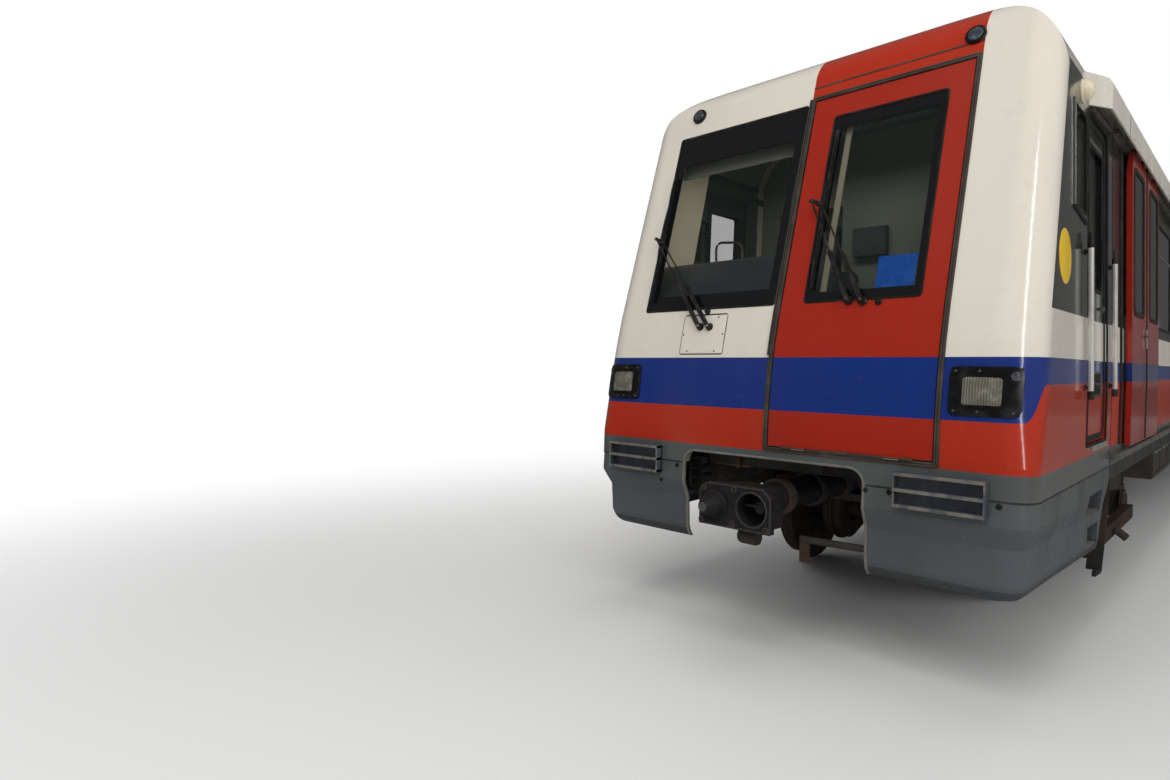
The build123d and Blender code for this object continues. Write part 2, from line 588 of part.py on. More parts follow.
# Passenger door leaves, each with its pane, hung from a rail under the cant rail cover
RAIL_Z = (LEAF_TOP_Z + 6.0, LEAF_TOP_Z + 30.0)
HANGER_X = half_width(LEAF_TOP_Z) + LEAF_OFF + 17.0
HANGER_T = 8.0
HOOK_H = 14.0
HANGER_HALF = 40.0
HANGER_FROM_EDGE = (120.0, 520.0)
LEAF_WINDOW_EDGE = (156.0, 86.0)
LEAF_PANE_Z = (1980.0, 2950.0)
LEAF_PANE_T = 10.0
LEAF_CORNER = (70.0, 150.0)
for d, centre in enumerate(DOOR_N, start=1):
    for end, way in (("front", -1), ("rear", 1)):
        near = centre + way * LEAF_GAP
        far = near + way * LEAF_W
        leaf = prism_n(side_section(LEAF_OFF, LEAF_T, LEAF_FOOT_Z, LEAF_TOP_Z), *sorted((near, far)))
        corner = [
            (far - way * LEAF_CORNER[0], LEAF_TOP_Z + 1),
            (far + way, LEAF_TOP_Z - LEAF_CORNER[1]),
            (far + way * 2, LEAF_TOP_Z + 1),
        ]
        window_n = sorted((near + way * LEAF_WINDOW_EDGE[0], far - way * LEAF_WINDOW_EDGE[1]))
        leaf = leaf - prism_x(corner, *RIGHT) - block(RIGHT, window_n, LEAF_PANE_Z)
        for back in HANGER_FROM_EDGE:
            hanger_n = (near + way * back - HANGER_HALF, near + way * back + HANGER_HALF)
            top_z = RAIL_Z[1] + HOOK_H
            leaf = leaf + block((HANGER_X, HANGER_X + HANGER_T), hanger_n, (LEAF_TOP_Z - 4, top_z))
            leaf = leaf + block((HANGER_X - 20, HANGER_X + HANGER_T), hanger_n, (RAIL_Z[1] + 0.4, top_z))
        glass = prism_n(side_section(LEAF_OFF + 11, LEAF_PANE_T, LEAF_FOOT_Z, LEAF_TOP_Z), *inset(window_n, SEAT))
        glass = glass & block(RIGHT, window_n, inset(LEAF_PANE_Z, SEAT))
        save(f"leaf_{d}_right_{end}", leaf, glass)
        save(f"leaf_{d}_left_{end}", mirrored(leaf), mirrored(glass))

# Cant rail covers over the leaves, closed by a slanted plate beside the cab
COVER_X = HALF_W + 40.0
COVER_FOOT_Z = 3040.0
COVER_BEND_Z = 3177.0
COVER_ROOT_Z = 3215.0
COVER_BEVEL = (16.0, 26.0)
COVER_T = 10.0
COVER_END = (CAB_L - 780.0, CAB_L - 590.0)
root_x = skin_x(COVER_ROOT_Z - COVER_T) + SEAT
bevel = (COVER_X - COVER_BEVEL[0], COVER_BEND_Z + COVER_BEVEL[1])
cover_points = [
    (root_x, COVER_ROOT_Z),
    bevel,
    (COVER_X, COVER_BEND_Z),
    (COVER_X, COVER_FOOT_Z),
    (COVER_X - COVER_T, COVER_FOOT_Z),
    (COVER_X - COVER_T, COVER_BEND_Z - 3),
    (bevel[0] - 7, bevel[1] - COVER_T),
    (root_x, COVER_ROOT_Z - COVER_T),
]
end_points = cover_points[:4] + [(half_width(COVER_FOOT_Z) + SEAT, COVER_FOOT_Z)]
ahead_points = [(root_x - 40, AHEAD), (WIDE, AHEAD), (WIDE, COVER_END[1] + 400), (COVER_X, COVER_END[1])]
end_slope = (COVER_END[1] - COVER_END[0]) / (COVER_X - root_x)
ahead_points[2] = (WIDE, COVER_END[1] + end_slope * (WIDE - COVER_X))
ahead_points.append((root_x - 40, COVER_END[0] - end_slope * 40))
ahead_of_end = prism_z(ahead_points, COVER_FOOT_Z - 50, COVER_ROOT_Z + 50)
end_plate = (prism_n(end_points, COVER_END[0], COVER_END[1] + 60) - ahead_of_end) & (Pos(0, COVER_T * 2.5, 0) * ahead_of_end)
cover = (prism_n(cover_points, COVER_END[0], BODY_L) - ahead_of_end) + end_plate
cover = cover - tube_body(-SEAT, AHEAD, FAR)
save("cant_rail_covers", *both(cover))

# Guide tubes at the sill with their brackets, and the hanging rails
TUBE_R = 20.0
TUBE_X = HALF_W + 35.0
TUBE_Z = 1055.0
BRACKET_HALF = 30.0
tube = rod((TUBE_X, CAB_L + 15, TUBE_Z), (TUBE_X, BODY_L, TUBE_Z), TUBE_R)
for n in [CAB_L + 70] + [(n0 + n1) / 2 for n0, n1 in bays[1:]]:
    bracket_n = (n - BRACKET_HALF, n + BRACKET_HALF)
    tube = tube + block((HALF_W + SEAT, TUBE_X - 14), bracket_n, (TUBE_Z - 17, TUBE_Z + 17))
top_rail = block((half_width(RAIL_Z[0]) + SEAT, HANGER_X - 0.4), (CAB_L, BODY_L), RAIL_Z)
save("door_guide_rails", *both(tube, top_rail))

# Cab handrails at both edges of each cab door
HANDRAIL_R = 14.0
HANDRAIL_OUT = 27.0
HANDRAIL_Z = (1471.0, 2254.0)
HANDRAIL_N = (CAB_DOOR_N[0] - 100.0, CAB_DOOR_N[1] + 84.0)
rails = []
for n in HANDRAIL_N:
    ends = [(half_width(z) + HANDRAIL_OUT, n, z) for z in HANDRAIL_Z]
    rail = rod(*ends, HANDRAIL_R)
    for z in inset(HANDRAIL_Z, 30):
        rail = rail + cylinder_x(half_width(z) - 8, half_width(z) + HANDRAIL_OUT, n, z, 9)
    rails += both(rail - outer)
save("cab_handrails", *rails)

# Cab back wall with its door
back_n = (BACK_N, BACK_N + BACK_T)
back = tube_body(WALL + SEAT, *back_n) & block((-WIDE, WIDE), back_n, (FLOOR_Z, CROWN_Z - ROOF_T - 45))
back = back - block((-BACK_DOOR_HALF, BACK_DOOR_HALF), back_n, (FLOOR_Z, BACK_DOOR_TOP))
back = back - block(BACK_WINDOW_X, back_n, BACK_WINDOW_Z)
back_door = block(
    inset((-BACK_DOOR_HALF, BACK_DOOR_HALF), SEAT), (BACK_N, BACK_N + BACK_T - 10), inset((FLOOR_Z, BACK_DOOR_TOP), SEAT)
)
save("cab_back_wall", back, back_door)

# Driver's desk and seat
DESK_X = (-HALF_W + 100, -60.0)
DESK_N = (130.0, 440.0, 720.0)
DESK_TOP_Z = (1890.0, 1950.0, 1880.0)
DESK_EDGE_T = 45.0
DESK_LEG_N = (520.0, 560.0)
DESK_LEG_Z = 1815.0
desk_points = [
    # n, z round the desk's side
    (DESK_N[0], FLOOR_Z),
    (DESK_N[0], DESK_TOP_Z[0]),
    (DESK_N[1], DESK_TOP_Z[1]),
    (DESK_N[2], DESK_TOP_Z[2]),
    (DESK_N[2], DESK_TOP_Z[2] - DESK_EDGE_T),
    (DESK_LEG_N[1], DESK_LEG_Z),
    (DESK_LEG_N[0], FLOOR_Z),
]
save("driver_desk", prism_x(desk_points, *DESK_X) & nose(CAB_T + SEAT))
SEAT_X = (-HALF_W + 624.0, -HALF_W + 1044.0)
SEAT_N = (CAB_L - 500.0, CAB_L - 70.0)
SEAT_MID = ((SEAT_X[0] + SEAT_X[1]) / 2, (SEAT_N[0] + SEAT_N[1]) / 2)
CUSHION_Z = (1620.0, 1720.0)
SEAT_BACK_T = 80.0
SEAT_BACK_TOP = 2350.0
SEAT_COLUMN_R = 60.0
SEAT_FOOT_R = 190.0
SEAT_FOOT_T = 20.0
seat = block(SEAT_X, SEAT_N, CUSHION_Z)
seat = seat + block(SEAT_X, (SEAT_N[1] - SEAT_BACK_T, SEAT_N[1]), (CUSHION_Z[1] - 20, SEAT_BACK_TOP))
seat = seat + rod((*SEAT_MID, FLOOR_Z), (*SEAT_MID, CUSHION_Z[0] + 20), SEAT_COLUMN_R)
seat = seat + rod((*SEAT_MID, FLOOR_Z), (*SEAT_MID, FLOOR_Z + SEAT_FOOT_T), SEAT_FOOT_R)
save("driver_seat", seat)

# Saloon seats along the bays, grab poles and the ceiling
BENCH_X = HALF_W - 454.0
BENCH_Z = (1580.0, 1650.0)
BACKREST_Z = 1900.0
BENCH_END = 60.0
WALL_IN = HALF_W - WALL
seats = []
for n0, n1 in bays[1:-1]:
    along = inset((n0, n1), BENCH_END)
    bench = block((BENCH_X, WALL_IN - 6), along, BENCH_Z)
    bench = bench + block((BENCH_X + 120, WALL_IN - 6), along, (FLOOR_Z, BENCH_Z[0]))
    backrest = block((WALL_IN - 90, WALL_IN - 30), along, (BENCH_Z[1] + SEAT, BACKREST_Z))
    seats += both(bench, backrest)
save("saloon_seats", *seats)
CEILING_Z = (3200.0, 3225.0)
POLE_X = BENCH_X + 20.0
POLE_R = 17.0
poles = []
for n0, n1 in bays[1:-1]:
    for n in inset((n0, n1), 20):
        poles += both(rod((POLE_X, n, FLOOR_Z), (POLE_X, n, CEILING_Z[0]), POLE_R))
save("grab_poles", *poles)
ceiling_n = (BACK_N + BACK_T + 80, BODY_L - END_T - 10)
save("ceiling", block((-HALF_W + 164, HALF_W - 164), ceiling_n, CEILING_Z))

# Underfloor equipment between the bogies
CASES_N = (BOGIE_N + 1900, BODY_L - BOGIE_N - 2300)
CASES = [
    # side, x0, x1, n0 and n1 as parts of the room between the bogies, depth
    (-1, 150.0, 1220.0, 0.00, 0.15, 480.0),
    (1, 200.0, 1220.0, 0.00, 0.21, 430.0),
    (-1, 250.0, 1220.0, 0.22, 0.44, 520.0),
    (1, 200.0, 1220.0, 0.27, 0.47, 500.0),
    (-1, 200.0, 1220.0, 0.50, 0.69, 450.0),
    (1, 250.0, 1220.0, 0.52, 0.74, 520.0),
    (-1, 150.0, 1220.0, 0.75, 1.00, 480.0),
    (1, 200.0, 1220.0, 0.80, 1.00, 400.0),
]
cases = []
room = CASES_N[1] - CASES_N[0]
for sign, x0, x1, part0, part1, depth in CASES:
    along = (CASES_N[0] + part0 * room, CASES_N[0] + part1 * room)
    cases.append(block(sorted((sign * x0, sign * x1)), along, (SOLE_Z - depth, SOLE_Z)))
save("equipment_cases", *cases)

# Bogies
SIDE_FRAME_X = (930.0, 1070.0)
FRAME_MID_X = sum(SIDE_FRAME_X) / 2
FRAME_TOP_Z = 700.0
FRAME_END_Z = (690.0, 790.0)
FRAME_LOW_Z = 520.0
BOX_Z = (330.0, 600.0)
BOX_HALF = 130.0
JOURNAL_R = 75.0
SPRING_CLEARANCE = 36.0
SPRING_R = SOLE_BAR_X[0] - FRAME_MID_X - SPRING_CLEARANCE
COIL_R = 95.0
HALF_BASE = WHEELBASE / 2
MOTOR_BACK = 430.0
MOTOR_R = 190.0
MOTOR_HALF = 330.0
MOTOR_Z = 500.0
HANGER_HALF_X = 120.0
FRAME_HALF = [
    # distance from the bogie's middle, z, down one half of the side frame
    (HALF_BASE - 530, FRAME_TOP_Z),
    (HALF_BASE - 270, FRAME_END_Z[1]),
    (HALF_BASE + 280, FRAME_END_Z[1]),
    (HALF_BASE + 280, FRAME_END_Z[0]),
    (HALF_BASE - 250, FRAME_END_Z[0]),
    (HALF_BASE - 570, FRAME_LOW_Z),
]


def bogie(n):
    frame_points = [(n + d, z) for d, z in FRAME_HALF] + [(n - d, z) for d, z in FRAME_HALF[::-1]]
    side_frame = prism_x(frame_points, *SIDE_FRAME_X)
    transom = block((-SIDE_FRAME_X[0], SIDE_FRAME_X[0]), (n - 230, n + 230), (PIVOT_FOOT_Z - 20, FRAME_END_Z[0]))
    transom = transom - rod((0, n, PIVOT_FOOT_Z - 60), (0, n, FRAME_END_Z[1]), PIVOT_R + 0.5)
    frame = side_frame + mirrored(side_frame) + transom
    for way in (-1, 1):
        motor_n = n + way * (HALF_BASE - MOTOR_BACK)
        frame = frame + cylinder_x(-MOTOR_HALF, MOTOR_HALF, motor_n, MOTOR_Z, MOTOR_R)
        hanger_n = sorted((n + way * 200, motor_n))
        frame = frame + block((-HANGER_HALF_X, HANGER_HALF_X), hanger_n, (PIVOT_FOOT_Z, MOTOR_Z + MOTOR_R - 20))
    boxes = both(rod((FRAME_MID_X, n, FRAME_TOP_Z + SEAT), (FRAME_MID_X, n, SOLE_Z - SEAT), SPRING_R))
    for way in (-1, 1):
        a = n + way * HALF_BASE
        box = block((SIDE_FRAME_X[0] + 25, SIDE_FRAME_X[1] + 35), (a - BOX_HALF, a + BOX_HALF), BOX_Z)
        box = box - cylinder_x(SIDE_FRAME_X[0] - 30, SIDE_FRAME_X[1] + 25, a, AXLE_Z, JOURNAL_R + 0.4)
        coil = rod((FRAME_MID_X, a, BOX_Z[1] + SEAT), (FRAME_MID_X, a, FRAME_END_Z[0] - SEAT), COIL_R)
        boxes += both(box, coil)
    return frame, boxes


TREAD = [
    # x outside the wheel's back face, radius
    (0.0, 0.0),
    (0.0, WHEEL_R + FLANGE_H - 8),
    (8.0, WHEEL_R + FLANGE_H),
    (22.0, WHEEL_R + FLANGE_H - 4),
    (34.0, WHEEL_R + 2),
    (WHEEL_W, WHEEL_R - 3),
    (WHEEL_W, WHEEL_R - 60),
    (85.0, WHEEL_R - 70),
    (75.0, 130.0),
    (115.0, 120.0),
    (115.0, 0.0),
]


def wheelset(a):
    half = GAUGE_BACK_TO_BACK / 2
    journal = SIDE_FRAME_X[1] + 18
    face = make_face(Polyline(*[(half + x, a, AXLE_Z + r) for x, r in TREAD], close=True))
    wheel = revolve(face, Axis((0, a, AXLE_Z), (1, 0, 0)), 360)
    return cylinder_x(-journal, journal, a, AXLE_Z, JOURNAL_R) + wheel + mirrored(wheel)


for name, n, first in (("front", BOGIE_N, 1), ("rear", BODY_L - BOGIE_N, 3)):
    frame, boxes = bogie(n)
    save(f"bogie_{name}_frame", frame)
    save(f"bogie_{name}_springs_and_boxes", *boxes)
    save(f"wheelset_{first}", wheelset(n - HALF_BASE))
    save(f"wheelset_{first + 1}", wheelset(n + HALF_BASE))

# Front coupler: face plate with its cup, tapered body, shank and anchor
COUPLER_HALF = 220.0
COUPLER_HALF_H = 116.0
PLATE_T = 40.0
HEAD_BOX_L = 170.0
HEAD_L = 300.0
PLATE_CHAMFER = 45.0
CUP_X = 106.0
CUP_R = 86.0
CUP_DEEP = 150.0
CONE_X = -122.0
CONE_RING_R = (80.0, 92.0)
RING_DEEP = 4.0
SHANK_R = 88.0
NECK_R = 62.0
NECK_L = 150.0
KNUCKLE_OUT_R = 110.0
KNUCKLE_HALF = 70.0
ANCHOR_PIN_R = 40.0
face_n = -FRONT_REACH
high_z = COUPLER_Z + COUPLER_HALF_H
plate_points = [
    # x, z round the face plate, its upper corners chamfered
    (-COUPLER_HALF, COUPLER_Z - COUPLER_HALF_H),
    (COUPLER_HALF, COUPLER_Z - COUPLER_HALF_H),
    (COUPLER_HALF, high_z - PLATE_CHAMFER),
    (COUPLER_HALF - PLATE_CHAMFER, high_z),
    (-COUPLER_HALF + PLATE_CHAMFER, high_z),
    (-COUPLER_HALF, high_z - PLATE_CHAMFER),
]
head = prism_n(plate_points, face_n, face_n + PLATE_T)
HEAD_HALF = COUPLER_HALF - 22.0
HEAD_HALF_H = COUPLER_HALF_H - 16.0
head_n = (face_n + PLATE_T - 1, face_n + HEAD_BOX_L)
head = head + block((-HEAD_HALF, HEAD_HALF), head_n, (COUPLER_Z - HEAD_HALF_H, COUPLER_Z + HEAD_HALF_H))
taper_faces = [
    Plane.XZ.offset(-head_n[1]) * Pos(0, COUPLER_Z) * Rectangle(HEAD_HALF * 2, HEAD_HALF_H * 2),
    Plane.XZ.offset(-(face_n + HEAD_L)) * Pos(0, COUPLER_Z) * Rectangle(SHANK_R * 2 + 8, SHANK_R * 2 + 8),
]
head = head + loft(taper_faces, ruled=True)
head = head - rod((CUP_X, face_n - 1, COUPLER_Z), (CUP_X, face_n + CUP_DEEP, COUPLER_Z), CUP_R)
groove = rod((CONE_X, face_n - 1, COUPLER_Z), (CONE_X, face_n + RING_DEEP, COUPLER_Z), CONE_RING_R[1])
groove = groove - rod((CONE_X, face_n - 2, COUPLER_Z), (CONE_X, face_n + RING_DEEP + 1, COUPLER_Z), CONE_RING_R[0])
head = head - groove
neck_n = COUPLER_PIVOT_N - NECK_L
shank = rod((0, face_n + HEAD_L - 60, COUPLER_Z), (0, neck_n, COUPLER_Z), SHANK_R)
shank = shank + rod((0, neck_n - 1, COUPLER_Z), (0, COUPLER_PIVOT_N, COUPLER_Z), NECK_R)
pivot = (0, COUPLER_PIVOT_N)
knuckle = rod((*pivot, COUPLER_Z - KNUCKLE_HALF), (*pivot, COUPLER_Z + KNUCKLE_HALF), KNUCKLE_OUT_R)
eye = rod((*pivot, COUPLER_Z - 80), (*pivot, COUPLER_Z + 80), ANCHOR_PIN_R + 0.5)
save("coupler_front", head + shank + knuckle - eye)
ANCHOR_X = (-160.0, 160.0)
ANCHOR_N = (COUPLER_PIVOT_N - 130, COUPLER_PIVOT_N + 200)
ANCHOR_TOP = CAB_FLOOR_Z - SEAT
ANCHOR_FOOT = COUPLER_Z - 130
fork = block(ANCHOR_X, ANCHOR_N, (COUPLER_Z + 80, ANCHOR_TOP))
fork = fork + block(ANCHOR_X, ANCHOR_N, (ANCHOR_FOOT, COUPLER_Z - 80))
fork = fork + block(ANCHOR_X, (COUPLER_PIVOT_N + 130, ANCHOR_N[1]), (ANCHOR_FOOT, ANCHOR_TOP))
fork = fork + rod((*pivot, COUPLER_Z - 110), (*pivot, ANCHOR_TOP), ANCHOR_PIN_R)
save("coupler_anchor", fork)

# Rear drawbar with its flange and mount
DRAWBAR_ROOT = 900.0
FLANGE_T = 40.0
bar = rod((0, BODY_L - DRAWBAR_ROOT, COUPLER_Z), (0, REAR_REACH - FLANGE_T, COUPLER_Z), 60)
flange = rod((0, REAR_REACH - FLANGE_T, COUPLER_Z), (0, REAR_REACH, COUPLER_Z), 120)
mount = block((-200, 200), (BODY_L - DRAWBAR_ROOT - 200, BODY_L - DRAWBAR_ROOT), (ANCHOR_FOOT, SOLE_Z))
save("rear_drawbar", bar + flange + mount)
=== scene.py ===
import math

import bmesh
import bpy
from mathutils import Matrix, Vector


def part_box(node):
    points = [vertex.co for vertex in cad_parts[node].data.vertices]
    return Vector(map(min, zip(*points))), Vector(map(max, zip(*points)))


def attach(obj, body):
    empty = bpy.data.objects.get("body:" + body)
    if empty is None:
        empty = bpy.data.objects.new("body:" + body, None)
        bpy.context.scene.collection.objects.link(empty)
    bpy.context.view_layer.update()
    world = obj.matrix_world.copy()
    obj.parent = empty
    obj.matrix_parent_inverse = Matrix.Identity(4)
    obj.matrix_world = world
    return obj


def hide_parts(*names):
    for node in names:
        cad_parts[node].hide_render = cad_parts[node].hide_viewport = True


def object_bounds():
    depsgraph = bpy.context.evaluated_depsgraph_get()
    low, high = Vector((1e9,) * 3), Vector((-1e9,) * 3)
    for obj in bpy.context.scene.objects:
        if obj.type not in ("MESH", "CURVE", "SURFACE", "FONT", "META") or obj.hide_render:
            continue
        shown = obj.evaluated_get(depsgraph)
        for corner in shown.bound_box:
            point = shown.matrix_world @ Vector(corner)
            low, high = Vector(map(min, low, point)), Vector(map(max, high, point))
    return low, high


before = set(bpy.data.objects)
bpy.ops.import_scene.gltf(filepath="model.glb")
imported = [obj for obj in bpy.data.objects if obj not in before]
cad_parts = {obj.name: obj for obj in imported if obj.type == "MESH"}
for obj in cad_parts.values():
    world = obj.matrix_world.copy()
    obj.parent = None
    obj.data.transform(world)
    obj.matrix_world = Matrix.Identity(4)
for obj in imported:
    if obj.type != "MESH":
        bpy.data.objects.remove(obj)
cad_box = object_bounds()
scene = bpy.context.scene

# The photograph was taken with a wide lens from 3.5 m ahead of the nose, beyond the car's right side.
# Places in this file are (x, n, z): x across the car, n behind the nose plane.
NOSE_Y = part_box("cab_mask")[0].y


def at(x, n, z):
    return Vector((x, NOSE_Y + n, z))


LENS_MM, SENSOR_MM, CLIP = 21.446, 36.0, (0.05, 300.0)
CAMERA_X, CAMERA_AHEAD, CAMERA_Z = 2.045, 3.508, 1.580
YAW, PITCH, ROLL = math.radians(44.8025), math.radians(-1.8633), math.radians(0.611)
camera_data = bpy.data.cameras.new("camera")
camera_data.lens, camera_data.sensor_width = LENS_MM, SENSOR_MM
camera_data.clip_start, camera_data.clip_end = CLIP
camera = bpy.data.objects.new("camera", camera_data)
scene.collection.objects.link(camera)
scene.camera = camera
forward = Vector((-math.sin(YAW) * math.cos(PITCH), math.cos(YAW) * math.cos(PITCH), math.sin(PITCH)))
level = Vector((math.cos(YAW), math.sin(YAW), 0.0))
upright = level.cross(forward)
right = math.cos(ROLL) * level + math.sin(ROLL) * upright
up = math.cos(ROLL) * upright - math.sin(ROLL) * level
turn = Matrix((right, up, -forward)).transposed().to_4x4()
camera.matrix_world = Matrix.Translation(at(CAMERA_X, -CAMERA_AHEAD, CAMERA_Z)) @ turn

# The studio: a pale floor under the flanges and a plain white world. White pixels behind the car come from
# the camera ray strength of the world and of the floor's far part; both are darker where the paint mirrors
# them.
scene.view_settings.view_transform = "Standard"


def lay(tree, kind, inputs=(), **settings):
    """Adds a shader node, with a value or another node's output for each input in inputs."""
    node = tree.nodes.new("ShaderNode" + kind)
    for name, value in settings.items():
        setattr(node, name, value)
    for key, value in inputs.items() if isinstance(inputs, dict) else enumerate(inputs):
        if isinstance(value, bpy.types.NodeSocket):
            tree.links.new(value, node.inputs[key])
        else:
            node.inputs[key].default_value = value
    return node


FLOOR_HALF, FLOOR_ROUGH = 90.0, 0.8
FLOOR_PALE, FLOOR_MIRRORED = (0.76, 0.76, 0.75, 1), (0.16, 0.16, 0.15, 1)
FADE_NEAR, FADE_FAR = 0.8, 7.0
floor_mesh = bpy.data.meshes.new("studio_floor")
corners = [(a * FLOOR_HALF, b * FLOOR_HALF, 0) for a, b in ((-1, -1), (1, -1), (1, 1), (-1, 1))]
floor_mesh.from_pydata(corners, [], [(0, 1, 2, 3)])
studio_floor = bpy.data.objects.new("studio_floor", floor_mesh)
scene.collection.objects.link(studio_floor)
floor_paint = bpy.data.materials.new("studio_floor")
floor_paint.use_nodes = True
tree = floor_paint.node_tree
nothing, car_half = (0, 0, 0), (cad_box[1].x, cad_box[1].y, 0)
reach = lay(tree, "TexCoord").outputs["Object"]
for operation, other in (("ABSOLUTE", nothing), ("SUBTRACT", car_half), ("MAXIMUM", nothing),
                         ("LENGTH", nothing)):
    step = lay(tree, "VectorMath", (reach, other), operation=operation)
    reach = step.outputs[0]
fade = lay(tree, "MapRange", (step.outputs["Value"], FADE_NEAR, FADE_FAR), interpolation_type="SMOOTHSTEP")
rays = lay(tree, "LightPath").outputs
colour = lay(tree, "Mix", {0: rays["Is Glossy Ray"], 6: FLOOR_PALE, 7: FLOOR_MIRRORED}, data_type="RGBA")
shader = tree.nodes["Principled BSDF"]
shader.inputs["Roughness"].default_value = FLOOR_ROUGH
tree.links.new(colour.outputs[2], shader.inputs["Base Color"])
far_and_seen = lay(tree, "Math", (fade.outputs[0], rays["Is Camera Ray"]), operation="MULTIPLY")
mix = lay(tree, "MixShader", (far_and_seen.outputs[0], shader.outputs[0], lay(tree, "Emission").outputs[0]))
tree.links.new(mix.outputs[0], tree.nodes["Material Output"].inputs["Surface"])
floor_mesh.materials.append(floor_paint)

WORLD_LIGHT, WORLD_MIRRORED, WORLD_SEEN = 0.32, 0.10, 1.0
world = bpy.data.worlds.new("studio")
scene.world = world
world.use_nodes = True
sky = world.node_tree
rays = lay(sky, "LightPath").outputs
mirrored = lay(sky, "MapRange", (rays["Is Glossy Ray"], 0, 1, WORLD_LIGHT, WORLD_MIRRORED))
seen = lay(sky, "Math", (rays["Is Camera Ray"], rays["Is Transmission Ray"]), operation="MAXIMUM")
strength = lay(sky, "MapRange", (seen.outputs[0], 0, 1, mirrored.outputs[0], WORLD_SEEN))
background = sky.nodes["Background"]
sky.links.new(strength.outputs[0], background.inputs["Strength"])
background.inputs["Color"].default_value = (1, 1, 1, 1)

# The lamps: one broad soft lamp over the nose, fills on both sides, behind and above, and two inside. Only
# the narrow strip ahead of the corner shows as a reflection in the paint.
LAMPS = [
    # name, place, aim, width, height, watts
    ("over_nose", at(1.5, -5.0, 7.5), at(0.0, 1.0, 1.6), 6.0, 6.0, 335.0),
    ("side_fill", at(8.0, 3.0, 4.5), at(1.2, 4.0, 1.6), 8.0, 4.0, 185.0),
    ("far_fill", at(-9.0, 8.0, 5.0), at(-1.2, 9.0, 1.5), 12.0, 4.0, 420.0),
    ("rear_fill", at(3.0, 28.0, 6.0), at(0.0, 19.0, 2.0), 6.0, 5.0, 360.0),
    ("cab_light", at(-0.2, 1.15, 3.15), at(-0.2, 1.10, 1.20), 0.9, 0.5, 9.0),
    ("corner_strip", at(7.0, -3.2, 4.6), at(1.1, 0.4, 2.4), 0.7, 7.0, 110.0),
    ("saloon_light", at(0.0, 10.5, 3.18), at(0.0, 10.5, 1.20), 0.5, 16.0, 60.0),
    ("roof_fill", at(0.0, 10.0, 12.0), at(0.0, 10.0, 3.0), 6.0, 22.0, 650.0),
]
for name, place, aim, width, height, watts in LAMPS:
    light = bpy.data.lights.new(name, "AREA")
    light.shape = "RECTANGLE"
    light.size, light.size_y, light.energy = width, height, watts
    lamp = bpy.data.objects.new(name, light)
    scene.collection.objects.link(lamp)
    lamp.visible_glossy = name == "corner_strip"
    turn = (aim - place).to_track_quat("-Z", "Y").to_matrix().to_4x4()
    lamp.matrix_world = Matrix.Translation(place) @ turn

# The cab mask is one moulding of glass-fibre plastic, sprayed in gloss enamel and masked off into bands: a
# grey foot, red, a deep blue band that narrows round the corner, cream white, and a black gloss field on
# the sides. A strip over the front door is red up to the roof.
CREAM, RED, BLUE = (224, 217, 204), (174, 44, 20), (12, 44, 118)
GREY, GLOSS_BLACK = (80, 86, 86), (26, 29, 27)
GRIME, LINING_GREY, LINING_CREAM = (120, 112, 98), (140, 142, 128), (206, 200, 182)
RED_FOOT_Z, BLUE_FOOT_Z, BLUE_SIDE_Z, BLUE_TOP_Z = 1.118, 1.350, 1.523, 1.648
BLACK_FOOT_Z, BLACK_TOP_Z, BLACK_BACK, BLACK_X = 1.876, 3.145, 0.160, 1.15
BLUE_BEND, LOW_DIRT_Z, SPLASH_BROWN = (0.045, 0.185), (1.9, 1.0), (96, 70, 56)
HEADER_X, HEADER_FOOT_Z = (-0.015, 0.920), 3.20

# The nose's own curve: a foot, an arc to the waist and a straight slope
FOOT_Z, FOOT_N = 1.150, 0.004
ARC_R, ARC_TOP_Z = 2.6325, 1.910
SLOPE = 0.30154
SOLE_Z = 0.998
HALF_W, WAIST_Z, LEAN_IN = 1.314, 1.500, 0.027
CORNER_RADII = [
    # height, radius of the vertical corner
    (0.998, 0.115), (1.150, 0.115), (1.340, 0.165), (1.530, 0.188), (1.720, 0.190), (1.910, 0.180),
    (3.700, 0.140),
]
ARC_TOP_N = FOOT_N + ARC_R - math.sqrt(ARC_R**2 - (ARC_TOP_Z - FOOT_Z) ** 2)
CAB_L = 1.890


def nose_n(z):
    if z <= FOOT_Z:
        return FOOT_N * (z - SOLE_Z) / (FOOT_Z - SOLE_Z)
    if z <= ARC_TOP_Z:
        return FOOT_N + ARC_R - math.sqrt(ARC_R**2 - (z - FOOT_Z) ** 2)
    return ARC_TOP_N + SLOPE * (z - ARC_TOP_Z)


def half_width(z):
    return HALF_W - LEAN_IN * max(0.0, z - WAIST_Z)


def along_table(table, z):
    """Reads a table of (height, value) at a height."""
    for (z0, value0), (z1, value1) in zip(table, table[1:]):
        if z <= z1:
            return value0 + (value1 - value0) * max(0.0, z - z0) / (z1 - z0)
    return table[-1][1]


def srgb(colour):
    shares = [c / 255.0 for c in colour]
    return (*(c / 12.92 if c <= 0.04045 else ((c + 0.055) / 1.055) ** 2.4 for c in shares), 1.0)


